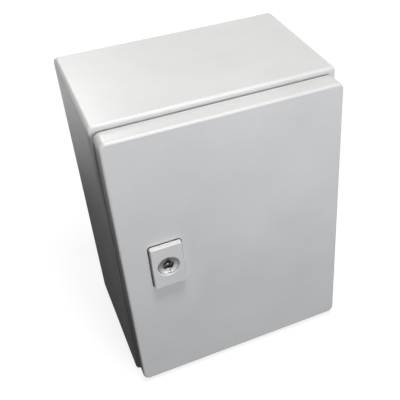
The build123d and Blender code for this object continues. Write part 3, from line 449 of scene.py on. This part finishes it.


# %% [markdown]
# ## The door's seal
# The seal is polyurethane foam that a nozzle lays on the door as a bead, where it rises
# and sets with a closed skin. Its section is a low dome, and its height drifts a little
# along the way. It could be a bevelled curve, but a section carried along the outline
# gives the dome and the drift exactly, so it is one grid: around the door, around the dome.
# The lock's own seal is cut from rubber sheet. It is drawn standing out by a millimetre
# all round the plate, and shows as a dark line.

# %% Foamed seal
SEAL_Y, SEAL_CROWN = -208.5, 6.1
SEAL_HALF_W = 5.0
SEAL_PATH = (128.75, 178.75, 8.75)


def round_rectangle(half_w, half_h, radius, arc=10, side=60):
    """The outline's points and outward normals: four sides in turn, each followed by its arc."""
    points, normals = [], []
    quarter = np.linspace(0, pi / 2, arc)
    for turn in range(4):
        a = quarter + turn * pi / 2
        sx, sz = ((1, 1), (-1, 1), (-1, -1), (1, -1))[turn]
        centre = np.array([sx * (half_w - radius), sz * (half_h - radius)])
        out = np.stack([np.cos(a), np.sin(a)], -1)
        points.append(centre + radius * out)
        normals.append(out)
        ahead = ((-1, 1), (-1, -1), (1, -1), (1, 1))[turn]
        goal = np.array([ahead[0] * (half_w - radius), ahead[1] * (half_h - radius)])
        end = goal + radius * out[-1]
        way = np.linspace(0, 1, side, endpoint=False)[1:, None]
        points.append(points[-1][-1] * (1 - way) + end * way)
        normals.append(np.repeat(out[-1:], side - 1, 0))
    return np.concatenate(points), np.concatenate(normals)


def foamed_bead():
    """A low dome across, w cos(t) ** 0.8 wide and h sin(t) ** 0.7 high, carried round the door.

    The powers fill it out beyond a half ellipse, and h drifts by three slow waves.
    """
    line, out = round_rectangle(*SEAL_PATH)
    around = np.linspace(0, 2 * pi, len(line), endpoint=False)
    drift = 0.03 * np.sin(7 * around) + 0.02 * np.sin(19 * around + 1) + 0.015 * np.sin(43 * around)
    t = np.linspace(0, pi, 15)
    across = SEAL_HALF_W * np.sign(np.cos(t)) * np.abs(np.cos(t)) ** 0.8
    rise = np.sin(t) ** 0.7
    lift = SEAL_CROWN * (1 + drift - drift.max())[:, None] * rise
    flat = line[:, None, :] + out[:, None, :] * across[None, :, None]
    points = np.stack([flat[..., 0], SEAL_Y + lift, flat[..., 1]], -1)
    return points.reshape(-1, 3), grid_faces(len(line), len(t), ring_rows=True)


def foam(name):
    """Foamed polyurethane: a dull skin with open pores, drawn at 0.9 mm instead of 0.3 mm."""
    material, tree, shader, place = start(name)
    pores = add(tree, "TexVoronoi", {"Vector": place, "Scale": 1 / (0.9 * MM)})
    cloud = add(tree, "TexNoise", {"Vector": place, "Scale": 55.0, "Detail": 4.0})
    surface(tree, shader, cloud.outputs["Fac"], [(0.3, "#2b2c2e"), (0.7, "#3a3b3d")],
            pores.outputs["Distance"], (0.7, 0.95), pores.outputs["Distance"], bite=0.5, depth=0.0003)
    return material


def lipped_ring(half_w, half_h, radius, section):
    """A section of (offset, height) points carried round a round rectangle, at offset along its normal."""
    line, out = round_rectangle(half_w, half_h, radius, side=8)
    offset, rise = np.array(section, float).T
    flat = line[:, None, :] + out[:, None, :] * offset[None, :, None]
    points = np.concatenate([flat, np.broadcast_to(rise[:, None], flat.shape[:2] + (1,))], -1)
    return points.reshape(-1, 3), grid_faces(len(line), len(rise), ring_rows=True)


FOAM = foam("foamed_polyurethane")
RUBBER = plastic("cut_rubber_sheet", "#1d1d1e", "#141415", (0.6, 0.8), grain=0.6, bite=0.2)
LOCK_SEAT = (-92.0, -210.0, 5.0)
LOCK_OUTLINE = (21.4, 32.9, 4.4)
LIP = [(-3.5, 0.0), (0.0, 0.0), (0.1, 0.4), (0.0, 0.8), (-0.3, 0.95), (-3.5, 0.95)]
piece("pressed_lock_seal", placed(lipped_ring(*LOCK_OUTLINE, LIP), LOCK_SEAT, "-Y"), "door",
      RUBBER, ["lock_seal"])
piece("seal_bead", foamed_bead(), "door", FOAM, ["door_gasket"])
dress("gland_gasket", FOAM)

# %% [markdown]
# ## The lock's barrel
# The barrel is cast in a steel die from zinc and tumbled bare. Its face is a dished disc
# with a bowl in the middle, where a hollow key slips over the pin, and one slot above and
# one below let the key's two bits in. It could be cut with booleans, but as a depth over
# radius and angle it is one closed grid. The columns follow the sides of the slots, so
# their walls stand straight however coarse the grid is. Inside the bowl the metal's colour
# is darkened with depth: this is painted shade for the recess.

# %% Barrel
LOCK_SPOT = (-92.0, -217.0, 5.0)
SLOT_HALF_W = 2.6
OPEN_COLUMNS, SLOT_COLUMNS = 25, 8
SHAFT_END, SQUARE_END, SQUARE_HALF = 37.5, 40.5, 4.0
SOCKET = [(0.0, 12.0, 12.0), (4.3, 12.0, 12.0), (4.5, 11.8, 11.8)]
BOWL = [(4.5, 7.2, 9.5), (4.7, 7.0, 9.5), (6.6, 7.0, 9.5), (6.9, 6.7, 9.5)]
DISH = [(7.1, 2.7, 4.5), (7.4, 2.4, 4.3), (9.0, 2.1, 4.0), (10.6, 1.7, 3.7), (12.2, 1.15, 3.3)]
RIM = [(12.4, 1.1, 3.2), (12.7, 1.1, 3.2), (12.9, 1.3, 3.3), (12.9, 4.7, 4.7)]
SHAFT = [(8.3, 4.7, 4.7), (8.3, SHAFT_END, SHAFT_END)]


def lock_face():
    """Depth by radius from steps of (radius, depth, depth in a slot), then a square shaft end.

    A slot spans |x| < w, so at radius r its side is asin(w / r) away from the vertical.
    """
    r, plain, slot = np.array(SOCKET + BOWL + DISH + RIM + SHAFT).T[:, :, None]
    side = np.arcsin(np.minimum(1.0, SLOT_HALF_W / np.maximum(r, SLOT_HALF_W)))
    across = np.linspace(-1, 1, OPEN_COLUMNS)[None, :]
    within = np.linspace(-0.98, 0.98, SLOT_COLUMNS)[None, :]
    quarter = pi / 2
    a = np.concatenate([across * (quarter - side), quarter + within * side,
                        pi + across * (quarter - side), -quarter + within * side], 1)
    in_slot = np.repeat([0, 1, 0, 1], [OPEN_COLUMNS, SLOT_COLUMNS] * 2)[None, :]
    depth = np.where(in_slot, slot, plain)
    face = np.stack([r * np.cos(a), r * np.sin(a), -depth], -1)
    turn = a[-1]
    edge = SQUARE_HALF / np.maximum(np.abs(np.cos(turn)), np.abs(np.sin(turn)))
    end = np.stack([np.stack([k * edge * np.cos(turn), k * edge * np.sin(turn), 0 * turn - level], -1)
                    for k, level in ((1, SHAFT_END), (1, SQUARE_END), (0, SQUARE_END))])
    points = np.concatenate([face, end])
    return points.reshape(-1, 3), grid_faces(len(points), a.shape[1])


# The near-black colour that the painted shade in the lock's bowl darkens towards.
RECESS_SHADE = "#161514"


def painted_recess_shade(material, shade_start, shade_full, share):
    """Painted shade in a recess: from the first depth to the second, in mm, the colour keeps less light,
    down to its share.
    """
    tree = material.node_tree
    shader = next(node for node in tree.nodes if node.type == "BSDF_PRINCIPLED")
    metal = shader.inputs["Base Color"].links[0].from_socket
    place = add(tree, "TexCoord").outputs["Object"]
    height = add(tree, "SeparateXYZ", {"Vector": place}).outputs["Y"]
    # How much light the painted shade leaves, by depth into the bowl.
    film = add(tree, "MapRange", {
        "Value": height, "From Min": (LOCK_SPOT[1] + shade_start) * MM, "From Max": (LOCK_SPOT[1] + shade_full) * MM,
        "To Min": 1.0, "To Max": share,
    })
    shade_mix = add(tree, "Mix", {
        "Factor": film.outputs["Result"], MIX_FIRST: linear(RECESS_SHADE), MIX_SECOND: metal,
    }, data_type="RGBA")
    tree.links.new(shade_mix.outputs[MIX_COLOUR], shader.inputs["Base Color"])


# Painted shade: the barrel's bowl darkens with depth, standing in for the shade in the recess.
painted_recess_shade(CAST_ZINC, shade_start=2.6, shade_full=5.2, share=0.34)
piece("slotted_lock_barrel", placed(lock_face(), LOCK_SPOT, "-Y"), "lock", CAST_ZINC,
      ["lock_barrel"], crease=30)

# %% [markdown]
# ## Threads and nuts
# A thread is a ridge that climbs as it goes round: the radius at angle a and height h
# depends only on h / pitch - a / (2 pi). So a threaded rod is one grid, angle by height,
# and a real thread needs no carving. A nut's outside is a hexagon, cut back at its corners
# by a cone: at each angle the radius is the smaller of the two.

# %% Threads and nuts


def threaded_rod(diameter, pitch, length, steps=24, rings=6):
    """r = R - 0.55 pitch |2 u - 1|, where u is the fraction of h / pitch - a / (2 pi); closed ends."""
    a = np.linspace(0, 2 * pi, steps, endpoint=False)[None, :]
    h = np.linspace(0, length, int(length / pitch * rings))[:, None]
    u = (h / pitch - a / (2 * pi)) % 1.0
    r = diameter / 2 - 0.55 * pitch * np.abs(2 * u - 1)
    r = np.minimum(r, diameter / 2 - 0.9 * pitch * (1 - np.clip((length - h) / pitch, 0, 1)))
    rows = np.stack(np.broadcast_arrays(r * np.cos(a), r * np.sin(a), h + 0 * a), -1)
    foot, tip = np.zeros((1, steps, 3)), np.zeros((1, steps, 3))
    tip[..., 2] = length
    points = np.concatenate([foot, rows, tip])
    return points.reshape(-1, 3), grid_faces(len(points), steps)


CONE_SLOPE = 0.577


def hexagon_nut(flats, height, bore, foot, steps=60):
    """The smaller of the hexagon, flats / 2 / cos of the angle to the nearest flat, and a cone.

    The cone rises by CONE_SLOPE, the tangent of 30 degrees. The nut stands foot above its seat.
    """
    a = np.linspace(0, 2 * pi, steps, endpoint=False)
    hexagon = flats / 2 / np.cos((a % (pi / 3)) - pi / 6)
    corner = flats / 2 / np.cos(pi / 6)
    drop = (corner - flats / 2) * CONE_SLOPE
    ring = [(bore / 2, 0.0), (flats / 2 - 0.2, 0.0), (corner, drop), (corner, height - drop),
            (flats / 2 - 0.2, height), (bore / 2 + 0.3, height), (bore / 2, height - 0.3)]
    limit, level = np.array(ring).T
    r = np.minimum(limit[:, None], hexagon)
    h = level[:, None] + 0 * a
    points = np.stack([r * np.cos(a), r * np.sin(a), h + foot], -1)
    return points.reshape(-1, 3), grid_faces(len(ring), steps, ring_rows=True)


def washer(outer, bore, height, steps=40):
    """A flat ring whose outer edges are broken by 0.2 mm: (r cos a, r sin a, h) round its section."""
    section = [(bore / 2, 0), (outer / 2 - 0.2, 0), (outer / 2, 0.2), (outer / 2, height - 0.2),
               (outer / 2 - 0.2, height), (bore / 2, height)]
    r, h = np.array(section, float).T
    a = np.linspace(0, 2 * pi, steps, endpoint=False)
    points = np.stack(np.broadcast_arrays(
        r[:, None] * np.cos(a), r[:, None] * np.sin(a), h[:, None] + 0 * a), -1)
    return points.reshape(-1, 3), grid_faces(len(r), steps, ring_rows=True)


print("thread, nut and washer shapes")

# %% [markdown]
# ## The fasteners in place
# The mounting plate hangs on four shouldered studs that are welded to the back, and the
# gland plate on six plain ones that stand up from the base. Each set is one piece, drawn as
# one stud or nut that is repeated at its spots.

# %% Studs, nuts and washers
WALL_Y, PLATE_BACK_Y, PLATE_FACE_Y = -1.5, -11.5, -13.5
STUD_SPOTS = [(sx * 111.0, sz * 134.0) for sx in (-1, 1) for sz in (-1, 1)]
STUD_SHOULDER = [(0, 0), (7.0, 0), (7.0, 9.6), (6.6, 10.0), (0, 10.0)]
GLAND_FLOOR_Z, GLAND_TOP_Z = -198.5, -193.5
GLAND_SPOTS = [(x, y) for x in (-104.0, 0.0, 104.0) for y in (-143.0, -37.0)]


def repeated(parts, facing):
    """Each (shape, spots) pair drawn once at every one of its spots, as one shape."""
    return joined([placed(shape, spot, facing) for shape, spots in parts for spot in spots])


on_wall, behind_plate, on_plate = (
    [(x, y, z) for x, z in STUD_SPOTS] for y in (WALL_Y, PLATE_BACK_Y, PLATE_FACE_Y)
)
on_floor, on_gland = ([(x, y, z) for x, y in GLAND_SPOTS] for z in (GLAND_FLOOR_Z, GLAND_TOP_Z))
FASTENERS = {
    "threaded_plate_studs": ("mounting_plate_studs", 180, "-Y", [
        (spun(STUD_SHOULDER), on_wall),
        (threaded_rod(diameter=8.0, pitch=1.25, length=15.0), behind_plate)]),
    "plate_nuts_and_washers": ("mounting_plate_nuts", 25, "-Y", [
        (washer(outer=16.0, bore=8.4, height=1.6), on_plate),
        (hexagon_nut(flats=13.0, height=6.5, bore=8.0, foot=1.6), on_plate)]),
    "threaded_gland_studs": ("gland_studs", 180, "+Z", [
        (threaded_rod(diameter=5.0, pitch=0.8, length=13.0), on_floor)]),
    "flanged_gland_nuts": ("gland_nuts", 25, "+Z", [
        (washer(outer=12.0, bore=5.2, height=1.2), on_gland),
        (hexagon_nut(flats=8.0, height=4.4, bore=4.6, foot=0.6), on_gland)]),
}
for name, (stands_for, crease, facing, parts) in FASTENERS.items():
    piece(name, repeated(parts, facing), "cabinet", BRIGHT_ZINC, [stands_for], crease)
for node in ("body_earth_stud", "door_earth_stud", "lock_nut"):
    dress(node, BRIGHT_ZINC)

# %% [markdown]
# ## Relays under clear covers
# A plug-in relay is a coil of thin copper wire on a frame, a hinged iron armature and a set
# of contact springs, all under a clear polycarbonate cover, so the coil behind it can be
# seen. Each part is a simple closed shape: the cover and the frame are boxes with round
# corners, the coil a bobbin whose windings are rings along its axis.

# %% Relay shapes and clear plastic


def soft_box(size, radius, steps=6, levels=5):
    """A box with round corners: a round rectangle drawn in towards each end by a quarter circle.

    The first and last rows are drawn in by half the shorter side, so each end closes in a ridge.
    """
    w, h, d = size
    quarter = np.linspace(0, pi / 2, levels)
    inset = np.concatenate([[min(w, h) / 2], radius * (1 - np.sin(quarter)),
                            radius * (1 - np.sin(quarter[::-1])), [min(w, h) / 2]])
    depth = np.concatenate([[0], radius * (1 - np.cos(quarter)),
                            d - radius * (1 - np.cos(quarter[::-1])), [d]])
    corner = np.linspace(0, pi / 2, steps)
    a = np.concatenate([corner + k * pi / 2 for k in range(4)])
    sx = np.repeat([1, -1, -1, 1], steps)
    sz = np.repeat([1, 1, -1, -1], steps)
    shrink = inset[:, None]
    r = np.maximum(radius - shrink, 0.0)
    x = sx * np.maximum(w / 2 - shrink - r, 0) + r * np.cos(a)
    z = sz * np.maximum(h / 2 - shrink - r, 0) + r * np.sin(a)
    points = np.stack([x, z, depth[:, None] + 0 * x], -1)
    return points.reshape(-1, 3), grid_faces(len(depth), len(a))


def bobbin(radius, length, wire=0.5):
    """A coil: r = R + 0.3 wire |sin(pi h / wire)| between two flanges, closed at both ends."""
    h = np.linspace(0, length, int(length / wire) * 4)
    r = radius + 0.3 * wire * np.abs(np.sin(pi * h / wire))
    flange = [(0, -1.2), (radius + 1.2, -1.2), (radius + 1.2, 0)]
    tail = [(radius + 1.2, length), (radius + 1.2, length + 1.2), (0, length + 1.2)]
    return spun(flange + list(zip(r, h)) + tail, 28)


def clear_plastic(name):
    """Clear polycarbonate, slightly hazed and scuffed.

    The cover is drawn as one block, so its IOR is below the real 1.58: what stands behind it
    then shows where a thin shell would show it.
    """
    material, tree, shader, place = start(name)
    scuff = add(tree, "TexNoise", {"Vector": place, "Scale": 120.0, "Detail": 5.0})
    rough = add(tree, "MapRange", {"Value": scuff.outputs["Fac"], "To Min": 0.05, "To Max": 0.22})
    tree.links.new(rough.outputs["Result"], shader.inputs["Roughness"])
    bump = add(tree, "Bump", {"Height": scuff.outputs["Fac"], "Strength": 0.05, "Distance": 0.0001})
    tree.links.new(bump.outputs["Normal"], shader.inputs["Normal"])
    shader.inputs["Base Color"].default_value = linear("#e9edee")
    shader.inputs["Transmission Weight"].default_value = 0.94
    shader.inputs["IOR"].default_value = 1.25
    return material


print("relay shapes and clear plastic")

# %% Relays in place
LOWER_RAIL_Z, UPPER_RAIL_Z = -127.0, 117.0
RELAY_CENTRES = [(-86.8 + 23.0 * i, LOWER_RAIL_Z) for i in range(4)] + [(69.2, UPPER_RAIL_Z)]
RELAY_BACK_Y = -42.0
COVER_SIZE, PLINTH_SIZE, ARMATURE_SIZE = (19.6, 33.6, 33.8), (16.0, 29.0, 9.5), (12.0, 9.0, 16.0)
CLEAR = clear_plastic("clear_polycarbonate")
COPPER = etched_metal("enamelled_copper_wire", "#b86a3c", "#8f4a28", (0.26, 0.4), 0.5, 0.15)
FRAME = plastic("moulded_polyamide_blue", "#2c3f63", "#22334f", (0.4, 0.55))


def in_each_relay(forward, up=0.0):
    """The spots that lie forward of every relay's socket and up from the relay's middle, in mm."""
    return [(x, RELAY_BACK_Y - forward, z + up) for x, z in RELAY_CENTRES]


piece("relay_covers", repeated([
    (soft_box(COVER_SIZE, radius=1.5), in_each_relay(forward=0.1)),
], "-Y"), "cabinet", CLEAR, ["relays"])
piece("relay_coils", repeated([
    (bobbin(radius=5.6, length=13.0), in_each_relay(forward=14.0, up=-7.6)),
], "-Y"), "cabinet", COPPER)
piece("relay_frames", repeated([
    (soft_box(PLINTH_SIZE, radius=1.0), in_each_relay(forward=1.6)),
    (soft_box(ARMATURE_SIZE, radius=0.8), in_each_relay(forward=12.0, up=8.5)),
], "-Y"), "cabinet", FRAME)

# %% [markdown]
# ## Indicator lamps
# Each signal group has a red, an amber and a green diode on the controller. A diode's body
# is epoxy cast in a mould, tinted right through, with a domed tip that gathers the light of
# the chip behind it. It is a turned shape: a straight wall, then part of a sphere.

# %% Diodes
LAMP_XS = (10.0, 28.0, 46.0, 64.0)
PANEL_Y = -59.6
LAMP_TINTS = {"red": (23.5, "#c23a2c", "#9d2018"), "amber": (12.5, "#d99a2b", "#b87a18"),
              "green": (1.5, "#3fae55", "#2a8c40")}


def diode(radius=2.45):
    """A flange at the foot, a straight wall, then a dome: (R cos t, 3.1 + 1.5 sin t)."""
    t = np.linspace(0, pi / 2, 12)
    dome = list(zip(radius * np.cos(t), 3.1 + 1.5 * np.sin(t)))
    return spun([(0, 0), (radius + 0.5, 0), (radius + 0.5, 0.05), (radius, 0.1)] + dome, 28)


def tinted_epoxy(name, light, dark):
    """Tinted epoxy: some light passes below the clear skin, the colour drifts a little."""
    material, tree, shader, place = start(name)
    cloud = add(tree, "TexNoise", {"Vector": place, "Scale": 180.0, "Detail": 3.0})
    surface(tree, shader, cloud.outputs["Fac"], [(0.3, dark), (0.7, light)],
            cloud.outputs["Fac"], (0.08, 0.2), cloud.outputs["Fac"], bite=0.05, depth=0.0001)
    shader.inputs["Coat Weight"].default_value = 0.6
    shader.inputs["Transmission Weight"].default_value = 0.35
    return material


for colour, (up, light, dark) in LAMP_TINTS.items():
    lens = tinted_epoxy("tinted_epoxy_" + colour, light, dark)
    row = repeated([(diode(), [(x, PANEL_Y, up) for x in LAMP_XS])], "-Y")
    piece("diodes_" + colour, row, "cabinet", lens, ["lamps_" + colour])

# %% [markdown]
# ## Floor, lamps and sky
# The floor is pale and plain. To the camera it is almost white and fades into the white
# sky, but the light it throws back at the cabinet is kept low, as in a studio with dark
# walls, so the sides stay modelled. A soft lamp above the door and a little in front of it
# lights the top and every edge that faces up. One in front on the right gives the even
# door, one high behind draws a sheen over the top, and a fill lights the back. All four
# stand right of the left wall or behind it, so that side stays in shade.
#
# A satin side seen at a shallow angle mirrors what lies beyond it. So in gloss the floor
# close to the cabinet is dark and turns pale from GLOSS_NEAR to GLOSS_FAR, and the sky is
# dark on the left: this draws the side's slow change from dark below to lighter above.

# %% Lamp and light path tools


def lamp(name, place, aim, size, power, tint="#ffffff"):
    """A square soft lamp at place that faces aim: size in metres, power in watts."""
    data = bpy.data.lights.new(name, "AREA")
    data.size, data.energy, data.color = size, power, linear(tint)[:3]
    made = bpy.data.objects.new(name, data)
    made.location = place
    made.rotation_mode = "QUATERNION"
    made.rotation_quaternion = (Vector(aim) - Vector(place)).to_track_quat("-Z", "Y")
    bpy.context.scene.collection.objects.link(made)


def seen_directly(tree, gloss):
    """1 for rays from the camera or through glass, gloss for reflected ones, 0 for bounced light."""
    path = add(tree, "LightPath")
    shine = add(tree, "Math", {0: path.outputs["Is Glossy Ray"], 1: gloss}, operation="MULTIPLY")
    first = add(
        tree, "Math", {0: path.outputs["Is Camera Ray"], 1: shine.outputs[0]}, operation="MAXIMUM"
    )
    both = add(
        tree, "Math", {0: first.outputs[0], 1: path.outputs["Is Transmission Ray"]},
        operation="MAXIMUM",
    )
    return both.outputs[0]


# %% Floor
FLOOR_GAP, FLOOR_HALF = 0.0004, 40.0
FLOOR_Z = CAD_BOX[0][2] - FLOOR_GAP
floor_mesh = bpy.data.meshes.new("floor")
floor_mesh.from_pydata(
    [(x * FLOOR_HALF, y * FLOOR_HALF, FLOOR_Z) for x, y in ((-1, -1), (1, -1), (1, 1), (-1, 1))],
    [], [(0, 1, 2, 3)],
)
floor = bpy.data.objects.new("floor", floor_mesh)
bpy.context.scene.collection.objects.link(floor)

FLOOR_BOUNCE, FLOOR_TINT = "#343434", "#8c8c8c"
NEAR_GLOW, FAR_GLOW, FADE_NEAR, FADE_FAR = 0.84, 1.0, 0.6, 2.2
GLOSS_NEAR, GLOSS_FAR, GLOSS_SHARE = 0.4, 0.72, 0.07
floor_material = bpy.data.materials.new("pale_floor")
floor_material.use_nodes = True
tree = floor_material.node_tree
tree.nodes.clear()
place = add(tree, "TexCoord").outputs["Object"]
away = add(tree, "VectorMath", {0: place}, operation="LENGTH").outputs["Value"]
shaded = add(tree, "MapRange", {
    "Value": away, "From Min": GLOSS_NEAR, "From Max": GLOSS_FAR, "To Min": GLOSS_SHARE,
})
seen = seen_directly(tree, shaded.outputs["Result"])
tint = add(tree, "Mix", {
    "Factor": seen, MIX_FIRST: linear(FLOOR_BOUNCE), MIX_SECOND: linear(FLOOR_TINT),
}, data_type="RGBA")
matt = add(tree, "BsdfDiffuse", {"Color": tint.outputs[MIX_COLOUR]})
glow = add(tree, "Emission", {"Color": linear("#ffffff")})
fade = add(tree, "MapRange", {
    "Value": away, "From Min": FADE_NEAR, "From Max": FADE_FAR, "To Min": NEAR_GLOW, "To Max": FAR_GLOW,
}, interpolation_type="SMOOTHSTEP")
lift = add(tree, "Math", {0: seen, 1: fade.outputs["Result"]}, operation="MULTIPLY")
tree.links.new(lift.outputs[0], glow.inputs["Strength"])
both = add(tree, "AddShader")
tree.links.new(matt.outputs[0], both.inputs[0])
tree.links.new(glow.outputs[0], both.inputs[1])
add(tree, "OutputMaterial", {"Surface": both.outputs[0]})
floor_mesh.materials.append(floor_material)
print("floor at", round(FLOOR_Z, 4))

# %% Sky
AMBIENT = 0.06
WALL_FROM_X, WALL_TO_X, WALL_SHARE = -0.5, 0.3, 0.2
world = bpy.data.worlds.new("studio")
bpy.context.scene.world = world
world.use_nodes = True
tree = world.node_tree
tree.nodes.clear()
way = add(tree, "SeparateXYZ", {"Vector": add(tree, "TexCoord").outputs["Generated"]})
dark_wall = add(tree, "MapRange", {
    "Value": way.outputs["X"], "From Min": WALL_FROM_X, "From Max": WALL_TO_X, "To Min": WALL_SHARE,
}, interpolation_type="SMOOTHSTEP")
seen = seen_directly(tree, dark_wall.outputs["Result"])
strength = add(tree, "MapRange", {"Value": seen, "To Min": AMBIENT, "To Max": 1.0})
sky = add(tree, "Background", {"Color": linear("#ffffff"), "Strength": strength.outputs["Result"]})
add(tree, "OutputWorld", {"Surface": sky.outputs[0]})
print("sky, at", AMBIENT, "on the object")

# %% Lamps
LAMPS = {
    "overhead": ((0.0, -0.5, 1.4), (0.0, -0.2, 0.0), 0.4, 15.0, "#fffefc"),
    "front": ((0.33, -1.9, 0.3), (0.0, -0.2, 0.0), 0.45, 19.4, "#f8faff"),
    "behind": ((-0.15, 1.3, 1.2), (-0.1, -0.15, 0.2), 0.5, 6.3),
    "back_fill": ((0.7, 1.9, 0.0), (0.0, 0.0, 0.0), 0.8, 16.0),
}
for name, settings in LAMPS.items():
    lamp(name, *settings)
bpy.context.scene.view_settings.view_transform = "Standard"
print(len(LAMPS), "lamps")

# %% [markdown]
# ## Done
# The nodes of the CAD model that have neither a finish nor a piece in their place are
# printed.

# %% Nodes without a finish
BARE = sorted(set(NODES) - DRESSED)
print("nodes without a finish:", BARE)
